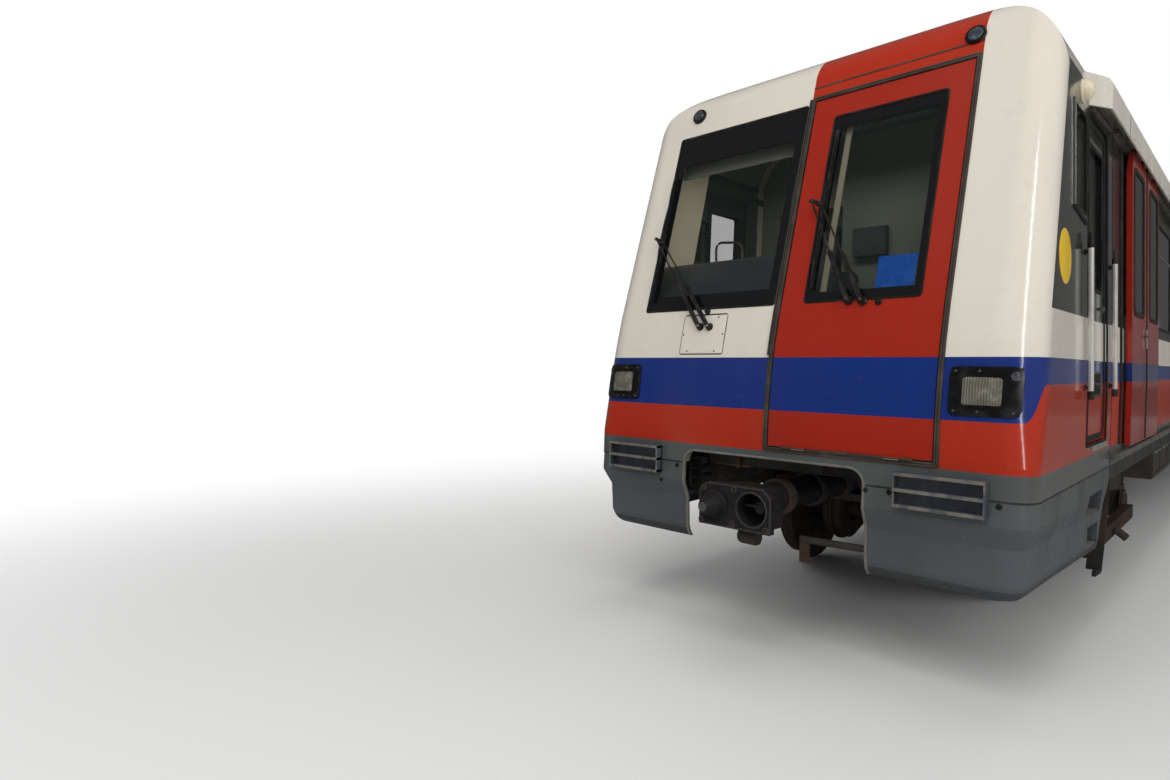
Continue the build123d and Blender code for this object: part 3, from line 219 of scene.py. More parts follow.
class Finish:
    """One material's node tree, built up coat by coat in the order that a painter would lay it."""

    def __init__(self, name, slot, colour, rough, metal=0.0):
        self.material = bpy.data.materials.new(name)
        self.material.use_nodes = True
        self.slot = slot
        self.tree = self.material.node_tree
        self.shader = self.tree.nodes["Principled BSDF"]
        self.shader.inputs["Metallic"].default_value = metal
        self.place = lay(self.tree, "TexCoord").outputs["Object"]
        self.x, self.y, self.z = lay(self.tree, "SeparateXYZ", [self.place]).outputs
        self.colour, self.rough = srgb(colour), rough

    def feed(self, socket, value):
        if isinstance(value, bpy.types.NodeSocket):
            self.tree.links.new(value, self.shader.inputs[socket])
        else:
            self.shader.inputs[socket].default_value = value

    def sum(self, operation, a, b=0.0, clamp=False):
        inputs = (a, b, -b) if operation == "WRAP" else (a, b)
        return lay(self.tree, "Math", inputs, operation=operation, use_clamp=clamp).outputs[0]

    def ramp(self, *levels):
        """A soft step. levels are the value, its low and high, and what comes out there if not 0 and 1."""
        return lay(self.tree, "MapRange", levels, interpolation_type="SMOOTHSTEP").outputs[0]

    def n(self):
        return self.sum("SUBTRACT", self.y, NOSE_Y)

    def across(self):
        return self.sum("ABSOLUTE", self.x)

    def above(self, value, edge):
        return self.sum("GREATER_THAN", value, edge)

    def below(self, value, edge):
        return self.sum("LESS_THAN", value, edge)

    def within(self, value, low, high):
        return self.sum("MULTIPLY", self.above(value, low), self.below(value, high))

    def all_of(self, *values, way="MULTIPLY"):
        out = values[0]
        for value in values[1:]:
            out = self.sum(way, out, value)
        return out

    def any_of(self, *values):
        return self.all_of(*values, way="MAXIMUM")

    def coat(self, where, colour):
        inputs = {0: where, 6: self.colour, 7: srgb(colour)}
        self.colour = lay(self.tree, "Mix", inputs, data_type="RGBA").outputs[2]

    def cloud(self, size, detail=4.0, stretch=(1, 1, 1), seed=0.0):
        shift, scale = (seed, seed * 0.7, seed * 1.3), [s / size for s in stretch]
        spread = lay(self.tree, "Mapping", {"Vector": self.place, "Location": shift, "Scale": scale})
        noise = lay(self.tree, "TexNoise", {"Vector": spread.outputs[0], "Scale": 1.0, "Detail": detail})
        return noise.outputs["Fac"]

    def weather(self, dirt, amount, size=0.6, streak=1.0):
        """Dirt that has settled unevenly and run down: it shifts the colour and dulls the shine."""
        where = self.ramp(self.cloud(size, 6.0, (1, 1, streak), 3.1), 0.42, 0.78)
        specks = self.ramp(self.cloud(size * 0.06, 3.0, (1, 1, 1), 7.7), 0.55, 0.8)
        dirty = self.sum("ADD", where, self.sum("MULTIPLY", specks, 0.35))
        self.coat(self.sum("MULTIPLY", dirty, amount, clamp=True), dirt)
        self.rough = self.sum("ADD", self.rough, self.sum("MULTIPLY", where, amount * 0.9), clamp=True)

    def grain(self, size, depth, detail=2.0, stretch=(1, 1, 1)):
        self.emboss(self.cloud(size, detail, stretch, 11.3), depth)

    def emboss(self, height, depth):
        self.feed("Normal", lay(self.tree, "Bump", {"Distance": depth, "Height": height}).outputs[0])

    def varnish(self, weight, rough=0.03):
        self.feed("Coat Weight", weight)
        self.feed("Coat Roughness", rough)

    def line_inside(self, colour, edges=True):
        """Paints the faces that look into the car, with edges also those that look back or down."""
        normal = lay(self.tree, "TexCoord").outputs["Normal"]
        aside, back, upward = lay(self.tree, "SeparateXYZ", [normal]).outputs
        inner = self.below(self.sum("MULTIPLY", aside, self.sum("SIGN", self.x)), -0.3)
        if edges:
            inner = self.any_of(inner, self.above(back, 0.3), self.below(upward, -0.3))
        self.coat(inner, colour)

    def done(self):
        self.feed("Base Color", self.colour)
        self.feed("Roughness", self.rough)
        return self


def dress(finish, *nodes, slot=None):
    """Packed pieces keep their meshes and take this finish."""
    for node in nodes:
        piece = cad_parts[node]
        piece.data.materials.clear()
        piece.data.materials.append(finish.material)


def livery(name, slot, header=False, black=True, clear=None, inside=LINING_GREY):
    """The banded enamel, with black on the sides. clear is an (n, z) window that is glass, not paint."""
    paint = Finish(name, slot, CREAM, 0.16)
    n = paint.n()
    bend = paint.ramp(n, *BLUE_BEND, BLUE_FOOT_Z, BLUE_SIDE_Z)
    rise = paint.sum("MULTIPLY", paint.sum("SUBTRACT", paint.z, ARC_TOP_Z), SLOPE)
    if black:
        behind = paint.above(paint.sum("SUBTRACT", n, paint.sum("ADD", ARC_TOP_N, rise)), BLACK_BACK)
        band = paint.within(paint.z, BLACK_FOOT_Z, BLACK_TOP_Z)
        paint.coat(paint.all_of(behind, paint.above(paint.across(), BLACK_X), band), GLOSS_BLACK)
    if header:
        paint.coat(paint.all_of(paint.within(paint.x, *HEADER_X), paint.above(paint.z, HEADER_FOOT_Z)), RED)
    paint.coat(paint.below(paint.z, BLUE_TOP_Z), BLUE)
    paint.coat(paint.below(paint.z, bend), RED)
    paint.coat(paint.below(paint.z, RED_FOOT_Z), GREY)
    paint.line_inside(inside)
    paint.weather(GRIME, 0.16, 0.9, 0.35)
    low_dirt = paint.ramp(paint.z, *LOW_DIRT_Z, 0.0, 1.0)
    splashes = paint.ramp(paint.cloud(0.16, 6.0, (1, 1, 0.2), 5.0), 0.5, 0.75)
    paint.coat(paint.all_of(low_dirt, splashes, 0.22), SPLASH_BROWN)
    paint.grain(0.010, 0.00006)
    paint.varnish(0.6, 0.05)
    if clear:
        window = paint.all_of(paint.within(n, *clear[0]), paint.within(paint.z, *clear[1]), 0.72)
        paint.feed("Alpha", paint.sum("SUBTRACT", 1.0, window))
    return paint.done()


SIDES = (("left", -1), ("right", 1))
DOOR_CLEAR = ((1.2163, 1.6157), (2.0503, 2.8497))
mask_paint = livery("mask_enamel", "white_gelcoat", header=True)
dress(mask_paint, "cab_mask")
dress(livery("side_enamel", "painted_steel", inside=(58, 61, 55)), "cab_side_left", "cab_side_right")
door_paint = livery("cab_door_enamel", "painted_steel", clear=DOOR_CLEAR, inside=(34, 37, 35))
dress(door_paint, "cab_door_left", "cab_door_right")
dress(livery("roof_enamel", "white_gelcoat", header=True, black=False), "cab_roof")


# The front door's frame is a ribbed rubber section screwed round the opening, with a bright metal edge on
# the windscreen side. Over it the mask carries a rubber bead across the red header.
def skin(rings, ends=(), wrap=False):
    """A mesh over rings of points. A ring of one point is a tip, and ends are the rings closed off."""
    bm = bmesh.new()
    rings = [[bm.verts.new(point) for point in ring] for ring in rings]
    for low, high in zip(rings, rings[1:] + rings[:1] * wrap):
        for k in range(max(len(low), len(high))):
            around = (low, k), (low, k + 1), (high, k + 1), (high, k)
            corners = [ring[j % len(ring)] for ring, j in around]
            corners = list(dict.fromkeys(corners))
            if len(corners) > 2:
                bm.faces.new(corners)
    for end in ends:
        bm.faces.new(rings[end])
    bmesh.ops.recalc_face_normals(bm, faces=bm.faces)
    mesh = bpy.data.meshes.new("skin")
    bm.to_mesh(mesh)
    bm.free()
    return mesh


def joined(meshes):
    bm = bmesh.new()
    for mesh in meshes:
        bm.from_mesh(mesh)
    mesh = bpy.data.meshes.new("joined")
    bm.to_mesh(mesh)
    bm.free()
    return mesh


SHARP_EDGE = math.radians(38)


def fix(name, mesh, finish, body="carbody", smooth=True):
    """Puts a made mesh, or a list of them, on the car, with its finish, on the body that carries it."""
    if isinstance(mesh, list):
        mesh = joined(mesh)
    for polygon in mesh.polygons:
        polygon.use_smooth = smooth
    mesh.materials.append(finish.material)
    piece = bpy.data.objects.new(name, mesh)
    scene.collection.objects.link(piece)
    if smooth:
        mesh.set_sharp_from_angle(angle=SHARP_EDGE)
    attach(piece, body)
    return piece


def sweep(path, outs, section, closed=False):
    """A moulding: section points (sideways, outwards) carried along a path. outs are its outward ways."""
    count = len(path)
    if isinstance(outs, Vector):
        outs = [outs] * count
    rings = []
    for k, (place, out) in enumerate(zip(path, outs)):
        before = path[(k - 1) % count] if closed or k > 0 else place
        after = path[(k + 1) % count] if closed or k < count - 1 else place
        way_in = (place - before).normalized() if place != before else (after - place).normalized()
        way_out = (after - place).normalized() if place != after else way_in
        along = (way_in + way_out).normalized()
        aside = along.cross(out).normalized()
        stretch = 1.0 / max(0.5, abs(along.dot(way_out)))
        rings.append([place + aside * u * stretch + out * v for u, v in section])
    return skin(rings, () if closed else (0, -1), closed)


def rounded(u0, u1, v0, v1, r, steps=5):
    """Points round a rectangle with rounded corners."""
    points = []
    for cu, cv, start in ((u1 - r, v1 - r, 0), (u0 + r, v1 - r, 90), (u0 + r, v0 + r, 180),
                          (u1 - r, v0 + r, 270)):
        for k in range(steps + 1):
            a = math.radians(start + 90.0 * k / steps)
            points.append((cu + r * math.cos(a), cv + r * math.sin(a)))
    return points


def along_edges(points, most=0.12):
    """The same closed outline with its long runs divided, so that it can follow a curved panel."""
    out = []
    for (u0, v0), (u1, v1) in zip(points, points[1:] + points[:1]):
        parts = max(1, math.ceil(math.hypot(u1 - u0, v1 - v0) / most))
        out += [(u0 + (u1 - u0) * k / parts, v0 + (v1 - v0) * k / parts) for k in range(parts)]
    return out


def rounded_line(u, v, r, steps, most, grow=0.0):
    """A divided rounded outline, grown outwards from the (low, high) pairs u and v."""
    return along_edges(rounded(u[0] - grow, u[1] + grow, v[0] - grow, v[1] + grow, r, steps), most)


def nose_out(z):
    """The nose's outward direction at a height, away from its corners."""
    step = 0.002
    return Vector((0, -1, (nose_n(z + step) - nose_n(z - step)) / (2 * step))).normalized()


def on_nose(x, z, out=0.0):
    return at(x, nose_n(z), z) + nose_out(z) * out


def nose_run(points, section, closed=False):
    """A moulding along (x, z) or (x, z, height over the nose) points."""
    outs = [nose_out(point[1]) for point in points]
    return sweep([on_nose(*point) for point in points], outs, section, closed)


def ribbed(width, height):
    w = width / 2
    side = [(w * 0.12, height * 0.55), (w * 0.25, height), (w * 0.8, height), (w, height * 0.7),
            (w, -0.004)]
    return [(-u, v) for u, v in side[::-1]] + side


def flat_bead(width, height):
    w = width / 2
    side = [(w * 0.7, height), (w, height * 0.6), (w, -0.003)]
    return [(-u, v) for u, v in side[::-1]] + side


def worn(name, slot, colour, rough, *wear, grain=None, metal=0.0):
    """A finish of one colour, with wear (colour, amount, size, streak) and a grain (size, depth)."""
    paint = Finish(name, slot, colour, rough, metal)
    for layer in wear:
        paint.weather(*layer)
    if grain:
        paint.grain(*grain)
    return paint.done()


RUBBER_BROWN = (62, 56, 50)
door_rubber = worn("door_rubber", "rubber", RUBBER_BROWN, 0.62, ((104, 94, 82), 0.5, 0.12),
                   grain=(0.006, 0.0003))
window_rubber = worn("window_rubber", "rubber", (27, 27, 27), 0.5, ((90, 84, 76), 0.3, 0.10),
                     grain=(0.004, 0.0002))
bright_metal = worn("bright_metal", "stainless", (196, 196, 192), 0.22, ((120, 116, 108), 0.35, 0.2),
                    grain=(0.02, 0.00004, 2.0, (1, 1, 0.1)), metal=1.0)
dress(door_rubber, "front_door_frame")
FRAME_X, FRAME_Z, FRAME_W = (-0.015, 0.920), (1.120, 3.230), 0.024
ribs = nose_run(rounded_line(FRAME_X, FRAME_Z, 0.012, 3, 0.12, -FRAME_W / 2), ribbed(FRAME_W, 0.009), True)
fix("front_door_frame_ribs", ribs, door_rubber)
BRIGHT_X, BRIGHT_FOOT_Z = -0.021, 1.66
strip = [(BRIGHT_X, BRIGHT_FOOT_Z + 0.06 * k) for k in range(27)]
fix("front_door_frame_bright_edge", nose_run(strip, flat_bead(0.010, 0.012)), bright_metal)
HEADER_BEAD_Z = 3.296
bead = [(HEADER_X[0] + (HEADER_X[1] - HEADER_X[0]) * k / 6, HEADER_BEAD_Z) for k in range(7)]
fix("header_bead", nose_run(bead, flat_bead(0.010, 0.004)), door_rubber)

# The front door is one insulated leaf in the same enamel, hinged at its foot so that it lets down as a
# ramp, with a tall fixed window in a black rubber and its own wiper.
LEAF_FOOT_Z = 1.152
leaf = Finish("front_door_enamel", "red_paint", (160, 36, 18), 0.15)
leaf.coat(leaf.within(leaf.z, BLUE_FOOT_Z, BLUE_TOP_Z), BLUE)
leaf.coat(leaf.below(leaf.z, LEAF_FOOT_Z), RUBBER_BROWN)
leaf.line_inside(LINING_GREY)
leaf.weather((110, 70, 58), 0.22, 0.8, 0.3)
leaf.grain(0.010, 0.00006)
leaf.varnish(0.6, 0.05)
dress(leaf.done(), "ramp_door")


def glazing(name, tint, see_through, fields=()):
    """Toughened glass, slightly green, printed black outside its clear fields, (x, z, n) ranges."""
    glass = Finish(name, "glass", tint, 0.03)
    glass.feed("IOR", 1.5)
    glass.feed("Specular IOR Level", 0.7)
    clear = see_through
    film = glass.ramp(glass.cloud(0.5, 5.0, (1, 1, 0.4)), 0.4, 0.8)
    glass.rough = glass.sum("ADD", 0.02, glass.sum("MULTIPLY", film, 0.06))
    if fields:
        n = glass.n()
        openings = [glass.all_of(glass.within(glass.x, *x), glass.within(glass.z, *z),
                                 glass.within(n, *depth))
                    for x, z, depth in fields]
        printed = glass.sum("SUBTRACT", 1.0, glass.any_of(*openings))
        glass.coat(printed, (17, 18, 20))
        clear = glass.ramp(printed, 0.4, 0.6, see_through, 1.0)
    glass.feed("Alpha", clear)
    return glass.done()


TINT, DARK_TINT = (30, 37, 33), (24, 29, 27)
DOOR_GLASS_X, DOOR_GLASS_Z = (0.160, 0.770), (1.960, 3.060)
DOOR_FIELD = ((0.200, 0.738), (2.010, 2.990), (-1, 3))
SCREEN_X, SCREEN_Z = (-0.981, -0.042), (1.960, 3.180)
CAB_FIELDS = [
    # the windscreen's clear part, the side windows' and the back wall's
    ((-0.925, -0.085), (2.050, 2.975), (-1.0, 0.68)), ((-2, 2), (2.445, 2.935), (0.70, 1.2)),
    ((-2, 2), (2.0, 3.0), (1.3, 3.0)),
]
dress(glazing("front_door_glass", TINT, 0.30, [DOOR_FIELD]), "ramp_door_glass")
dress(glazing("cab_glass", TINT, 0.20, CAB_FIELDS), "cab_glazing")
dress(glazing("saloon_glass", DARK_TINT, 0.86), "saloon_glazing")


def nose_gasket(name, x, z, radius, body):
    ring = nose_run(rounded_line(x, z, radius, 5, 0.12, 0.006), ribbed(0.012, 0.004), True)
    fix(name, ring, window_rubber, body)


nose_gasket("front_door_window_rubber", DOOR_GLASS_X, DOOR_GLASS_Z, 0.018, "ramp_door")
nose_gasket("windscreen_rubber", SCREEN_X, SCREEN_Z, 0.014, "carbody")

# The route plate is a small plain plate of enamelled steel.
# It hangs in the front door's window.
PLATE_X, PLATE_Z, PLATE_THICK = (0.537, 0.735), (2.012, 2.180), 0.0012
plate_enamel = worn("route_plate_enamel", None, (8, 62, 130), 0.25, ((60, 100, 140), 0.1, 0.05))
outline = rounded_line(PLATE_X, PLATE_Z, 0.004, 4, 0.2)
plate = skin([[on_nose(x, z, out) for x, z in outline] for out in (-PLATE_THICK, 0)], (0, -1))
fix("route_plate", plate, plate_enamel, "ramp_door", smooth=False)


# Each headlamp is a black moulded bezel screwed over a hole in the mask, with one rectangular lamp in it
# and a small round marker beside it. The bezel follows the corner of the nose.
def turned(rim, centre, axis, segments=28):
    """A turned form: (radius, distance along the axis) pairs spun round an axis through centre."""
    axis = Vector(axis).normalized()
    first = axis.orthogonal().normalized()
    second = axis.cross(first)
    angles = [2 * math.pi * k / segments for k in range(segments)]
    return skin([
        [centre + axis * along + (first * math.cos(a) + second * math.sin(a)) * radius for a in angles]
        if radius > 1e-6 else [centre + axis * along] for radius, along in rim
    ])


def corner_place(x, z, out=0.0):
    """A point over the mask's skin, round its corner as well, and the outward direction there."""
    sign = 1 if x > 0 else -1
    radius = along_table(CORNER_RADII, z)
    centre_x = half_width(z) - radius
    if abs(x) <= centre_x:
        return on_nose(x, z, out), nose_out(z)
    angle = math.asin(min(1.0, (abs(x) - centre_x) / radius))
    way = Vector((sign * math.sin(angle), -math.cos(angle), 0.0))
    return at(sign * centre_x, nose_n(z) + radius, z) + way * (radius + out), way


def skin_plate(x, z, radius, low, high, sign, crown=0.0, cuts=9):
    """A plate that follows the mask: a rounded rectangle between two heights over the skin."""
    mid_x, mid_z = sum(x) / 2, sum(z) / 2
    steps = [(1.0, low), (1.0, high * 0.6 + low * 0.4), (0.985, high)]
    steps += [(1.0 - k / cuts, high + crown * (1 - (1 - k / cuts) ** 2)) for k in range(1, cuts)]
    rings = [
        [corner_place(sign * (mid_x + (u - mid_x) * share), mid_z + (v - mid_z) * share, height)[0]
         for u, v in rounded_line(x, z, radius, 4, 0.03)] for share, height in steps
    ]
    return skin([*rings, [corner_place(sign * mid_x, mid_z, high + crown)[0]]])


LAMP_X, LAMP_Z = (0.953, 1.239), (1.378, 1.599)
LENS_X, LENS_Z = (1.008, 1.170), (1.424, 1.553)
SMALL_X, SMALL_Z = 1.214, 1.560
BEZEL_OUT = 0.011
bezel_plastic = worn("headlamp_bezel", "lamp", (14, 14, 15), 0.22, ((96, 92, 84), 0.18, 0.08))
dress(bezel_plastic, "front_lamps")
fluted_glass = Finish("lamp_glass", "glass", (104, 100, 88), 0.10)
fluted_glass.weather((176, 172, 158), 0.45, 0.05)
flutes = lay(fluted_glass.tree, "TexWave", {"Scale": 26.0, "Vector": fluted_glass.place})
fluted_glass.emboss(flutes.outputs["Fac"], 0.004)
fluted_glass.varnish(1.0)
fluted_glass.done()
marker_lens = worn("marker_glass", "glass", (54, 58, 66), 0.10, ((150, 156, 162), 0.5, 0.03),
                   grain=(0.004, 0.0006))
SCREW_R = 0.0065
SCREW_RIM = [(SCREW_R, -0.001), (SCREW_R, 0.0015), (SCREW_R * 0.8, 0.003), (SCREW_R * 0.35, 0.0032),
             (SCREW_R * 0.3, 0.002), (0, 0.002)]
SMALL_RIM = [(0.021, 0), (0.021, 0.003), (0.018, 0.005), (0.012, 0.007), (0, 0.008)]


def grown(span, margin):
    return span[0] - margin, span[1] + margin


for side, sign in SIDES:
    bezel = skin_plate(grown(LAMP_X, 0.004), grown(LAMP_Z, 0.004), 0.034, 0.001, BEZEL_OUT, sign)
    fix(f"headlamp_bezel_{side}", bezel, bezel_plastic)
    line = rounded_line(LENS_X, LENS_Z, 0.018, 4, 0.03, 0.008)
    rim = [corner_place(sign * u, v, BEZEL_OUT) for u, v in line]
    fix(f"headlamp_rim_{side}", sweep(*zip(*rim), flat_bead(0.010, 0.006), True), bezel_plastic)
    lens = skin_plate(LENS_X, LENS_Z, 0.014, 0.010, 0.014, sign, crown=0.006)
    fix(f"headlamp_lens_{side}", lens, fluted_glass)
    small = turned(SMALL_RIM, *corner_place(sign * SMALL_X, SMALL_Z, 0.0105), 20)
    fix(f"headlamp_small_lens_{side}", small, marker_lens)
    places = [(u, v) for u in (LAMP_X[0] + 0.022, sum(LAMP_X) / 2 - 0.02, LAMP_X[1] - 0.026)
              for v in (LAMP_Z[0] + 0.018, LAMP_Z[1] - 0.018)]
    screws = [turned(SCREW_RIM, *corner_place(sign * u, v, BEZEL_OUT), 12) for u, v in places[:-1]]
    fix(f"headlamp_screws_{side}", screws, bright_metal)

# Two marker lamps sit over the windscreen: a round prismatic lens, clipped into a dark moulded ring
# that is screwed to the mask.
MARKER_X, MARKER_Z = 0.873, 3.336
RING_RIM = [(0.052, -0.002), (0.052, 0.010), (0.048, 0.017), (0.040, 0.018), (0.038, 0.0145)]
PRISM_RIM = [(0.038, 0.0145), (0.036, 0.018), (0.026, 0.022), (0.012, 0.0235), (0, 0.024)]
for side, sign in SIDES:
    centre, out = on_nose(sign * MARKER_X, MARKER_Z), nose_out(MARKER_Z)
    fix(f"marker_ring_{side}", turned(RING_RIM, centre, out, 36), bezel_plastic)
    fix(f"marker_lens_{side}", turned(PRISM_RIM, centre, out, 32), marker_lens)

# The skirt under the nose is a separate grey moulding, folded at its waist. Two ribbed anti-climbers are
# bolted to it. The grey has dulled and has been touched up where it has been scraped.
SKIRT_FOLD_Z, SKIRT_TUCK_Z = 0.882, 0.575
skirt = Finish("skirt_enamel", "grey_skirt", (82, 87, 92), 0.26)
skirt.coat(skirt.above(skirt.z, SKIRT_FOLD_Z), (84, 88, 89))
# Below the tuck the skirt curves under; the darker grey there is painted shade.
skirt.coat(skirt.below(skirt.z, SKIRT_TUCK_Z), (64, 67, 70))
skirt.weather((60, 56, 50), 0.35, 0.5, 0.5)
scuffs = skirt.ramp(skirt.cloud(0.05, 8.0, (1, 1, 0.5), 21.0), 0.70, 0.76)
skirt.coat(skirt.sum("MULTIPLY", scuffs, 0.35), (150, 152, 150))
skirt.grain(0.012, 0.00012)
dress(skirt.done(), "front_skirt")
CLIMBER_RIB_N, CLIMBER_BACK_N, CLIMBER_TOP_Z = -0.058, -0.022, 1.070
climber = Finish("anti_climber_enamel", "grey_skirt", (62, 72, 82), 0.42)
# The ribs' front faces are lighter in patches: partly rubbed wear, partly a painted highlight on the rib
# edges.
rib_wear_and_highlight = climber.ramp(climber.cloud(0.05, 6.0, (1, 1, 0.5), 2.0), 0.30, 0.55)
climber.coat(climber.all_of(climber.below(climber.n(), CLIMBER_RIB_N), rib_wear_and_highlight, 0.75), (126, 118, 104))
# Behind the ribs and under the top rib the grey is darker: painted shade in the recesses.
behind, under = climber.above(climber.n(), CLIMBER_BACK_N), climber.below(climber.z, CLIMBER_TOP_Z)
climber.coat(climber.all_of(behind, under, 0.75), (54, 62, 74))
climber.weather((150, 152, 150), 0.20, 0.07, 0.3)
climber.weather((96, 66, 44), 0.25, 0.12)
climber.grain(0.008, 0.0003)
climber_paint = climber.done()
dress(climber_paint, "anti_climbers")

# The saloon's side walls are welded steel in the same livery, with bonded windows in a dark upper band. The
# cant rail covers and the roof's edge are cream, the middle of the roof is bare grey.
WINDOW_BAND, LINING_X, LINING_TOP_Z, ROOF_EDGE_X = (1.876, 3.060), 1.249, 3.0, 0.98
wall = Finish("wall_enamel", "painted_steel", CREAM, 0.18)
wall.coat(wall.within(wall.z, *WINDOW_BAND), GLOSS_BLACK)
wall.coat(wall.below(wall.z, BLUE_TOP_Z), BLUE)
wall.coat(wall.below(wall.z, BLUE_SIDE_Z), RED)
wall.coat(wall.below(wall.z, RED_FOOT_Z), GREY)
wall.coat(wall.all_of(wall.below(wall.across(), LINING_X), wall.below(wall.z, LINING_TOP_Z)), LINING_CREAM)
wall.weather(GRIME, 0.2, 0.9, 0.3)
wall.grain(0.012, 0.00008)
dress(wall.done(), "side_wall_left", "side_wall_right")
dress(worn("end_wall_enamel", "painted_steel", (210, 206, 194), 0.3, (GRIME, 0.35, 0.7, 0.3),
           grain=(0.012, 0.0001)), "rear_end_wall")
EDGE_CREAM = (222, 217, 204)
dress(worn("cant_rail_enamel", "painted_steel", EDGE_CREAM, 0.2, ((96, 90, 80), 0.35, 0.5, 0.2),
           grain=(0.010, 0.00008)), "cant_rail_covers")
roof = Finish("roof_enamel_grey", "aluminium", (176, 176, 170), 0.4)
roof.coat(roof.above(roof.across(), ROOF_EDGE_X), EDGE_CREAM)
roof.weather((90, 86, 78), 0.4, 0.9, 1.0)
roof.grain(0.014, 0.0002)
dress(roof.done(), "roof_shell")

# The leaves' guide rails are drawn aluminium sections, bolted to the side wall.
# Handrails and grab poles are brushed or bright steel tube.
aluminium = worn("drawn_aluminium", "aluminium", (168, 168, 164), 0.36, ((96, 90, 82), 0.45, 0.12),
                 grain=(0.02, 0.00008, 2.0, (1, 0.1, 1)), metal=0.85)
dress(aluminium, "door_guide_rails", "gangway_end_frame")
dress(worn("handrail_steel", "stainless", (214, 212, 206), 0.32, ((120, 116, 108), 0.25, 0.1), metal=0.45),
      "cab_handrails")
dress(bright_metal, "grab_poles")

# Under the floor are welded frames and cases in black enamel, and rough steel castings left nearly bare.
# All of it is dusted with brown brake dust and rust.
BRAKE_DUST = (92, 66, 48)


def under_gear(name, slot, colour, rough, dust, size=0.25, metal=0.0, depth=0.0006):
    wear = [(BRAKE_DUST, dust, size, 0.6), ((30, 28, 26), 0.35, size * 0.4)]
    return worn(name, slot, colour, rough, *wear, grain=(0.008, depth, 4.0), metal=metal)


chassis_black = under_gear("chassis_black", "black_steel", (40, 39, 37), 0.6, 0.38)
cast_black = under_gear("cast_steel", "cast_steel", (56, 51, 46), 0.66, 0.5, depth=0.0012)
case_paint = under_gear("case_enamel", "black_steel", (66, 66, 64), 0.55, 0.4, 0.5)
coupler_steel = under_gear("coupler_steel", "cast_steel", (44, 43, 45), 0.40, 0.20, 0.12, 0.4, 0.0008)
wheel_steel = under_gear("wheel_steel", "wheel_steel", (78, 70, 62), 0.5, 0.45, 0.18, 0.5)
dress(under_gear("underframe_grey", "floor", (56, 58, 57), 0.55, 0.35, 0.5), "underframe")
dress(case_paint, "equipment_cases")
dress(chassis_black, "bogie_front_frame", "bogie_rear_frame")
dress(cast_black, "bogie_front_springs_and_boxes", "bogie_rear_springs_and_boxes", slot="black_steel")
dress(wheel_steel, "wheelset_1", "wheelset_2", "wheelset_3", "wheelset_4")
dress(coupler_steel, "coupler_front")
dress(cast_black, "coupler_anchor", "rear_drawbar")

# The gangway at the rear end is a bellows of folded rubber sheet.
# An aluminium frame, screwed to it, keeps its free end in shape.
dress(worn("bellows_rubber", "rubber", (44, 44, 45), 0.75, ((96, 92, 84), 0.35, 0.3),
           grain=(0.004, 0.0006)),
      "gangway_bellows")

# Inside, laminate panels are screwed to the frame, and a painted steel desk stands before the driver's seat.
# The benches' seats are moulded foam under blue cloth.
LAMINATE_GRAIN, CLOTH_GRAIN = (0.003, 0.0001), (0.002, 0.0006, 2.0)
dress(worn("cab_laminate", "interior", (214, 206, 186), 0.45, ((150, 140, 120), 0.2, 0.5),
           grain=LAMINATE_GRAIN),
      "ceiling")
dress(worn("cab_wall_panel", "interior", (122, 124, 112), 0.5, ((84, 82, 72), 0.25, 0.5),
           grain=LAMINATE_GRAIN),
      "cab_back_wall")
desk_paint = worn("desk_grey", "interior", (58, 62, 66), 0.5, ((110, 110, 106), 0.2, 0.3),
                  grain=(0.002, 0.0002))
seat_cloth = worn("seat_cloth", "seat", (34, 52, 104), 0.85, ((70, 84, 120), 0.3, 0.05), grain=CLOTH_GRAIN)
seat_grey = worn("driver_cloth", "seat", (46, 48, 52), 0.85, ((74, 76, 78), 0.3, 0.05), grain=CLOTH_GRAIN)
dress(desk_paint, "driver_desk")
dress(seat_grey, "driver_seat")
dress(seat_cloth, "saloon_seats")

# Seams between the cab's panels are filled with sealant.
# It shows as a narrow dark rubbery bead that lies a hair over both edges.
seam_seal = worn("seam_sealant", "rubber", (38, 36, 34), 0.7, ((84, 78, 70), 0.4, 0.06),
                 grain=(0.003, 0.0003))
FOOT_CORNER_R = 0.115
OPENING_HALF, OPENING_TOP, OPENING_R = 0.565, 1.078, 0.080
forwards = Vector((0, -1, 0))
turns = [(math.sin(math.radians(15 * k)), math.cos(math.radians(15 * k))) for k in range(7)]
for side, sign in SIDES:
    run = [(OPENING_HALF + 0.012, 0.0), (0.9, 0.0)]
    run += [(HALF_W - FOOT_CORNER_R * (1 - s), FOOT_CORNER_R * (1 - c)) for s, c in turns]
    run += [(HALF_W, 0.6), (HALF_W, 1.2), (HALF_W, CAB_L)]
    outs = [forwards] * 2 + [Vector((sign * s, -c, 0)) for s, c in turns] + [Vector((sign, 0, 0))] * 3
    seam = sweep([at(sign * x, n, SOLE_Z) for x, n in run], outs, flat_bead(0.007, 0.0012))
    fix(f"skirt_seam_{side}", seam, seam_seal)


# The wipers: each has two parallel arms on a pair of spindles, a spring box on the lower half of each arm
# and a thin rod above it, and a cross head that keeps the long blade upright. All of it is black enamelled
# steel.
def between(start, end, parts, rise=0.0):
    """Points from start to end, bowed outwards by rise at the middle."""
    out = []
    for k in range(parts + 1):
        t = k / parts
        x, z, height = (a + (b - a) * t for a, b in zip(start, end))
        out.append((x, z, height + rise * 4 * t * (1 - t)))
    return out


def round_bar(radius, sides=10):
    angles = [2 * math.pi * k / sides for k in range(sides)]
    return [(radius * math.cos(a), radius * math.sin(a)) for a in angles]


def nose_turned(rim, x, z, segments, out=0.0):
    return turned(rim, on_nose(x, z, out), nose_out(z), segments)


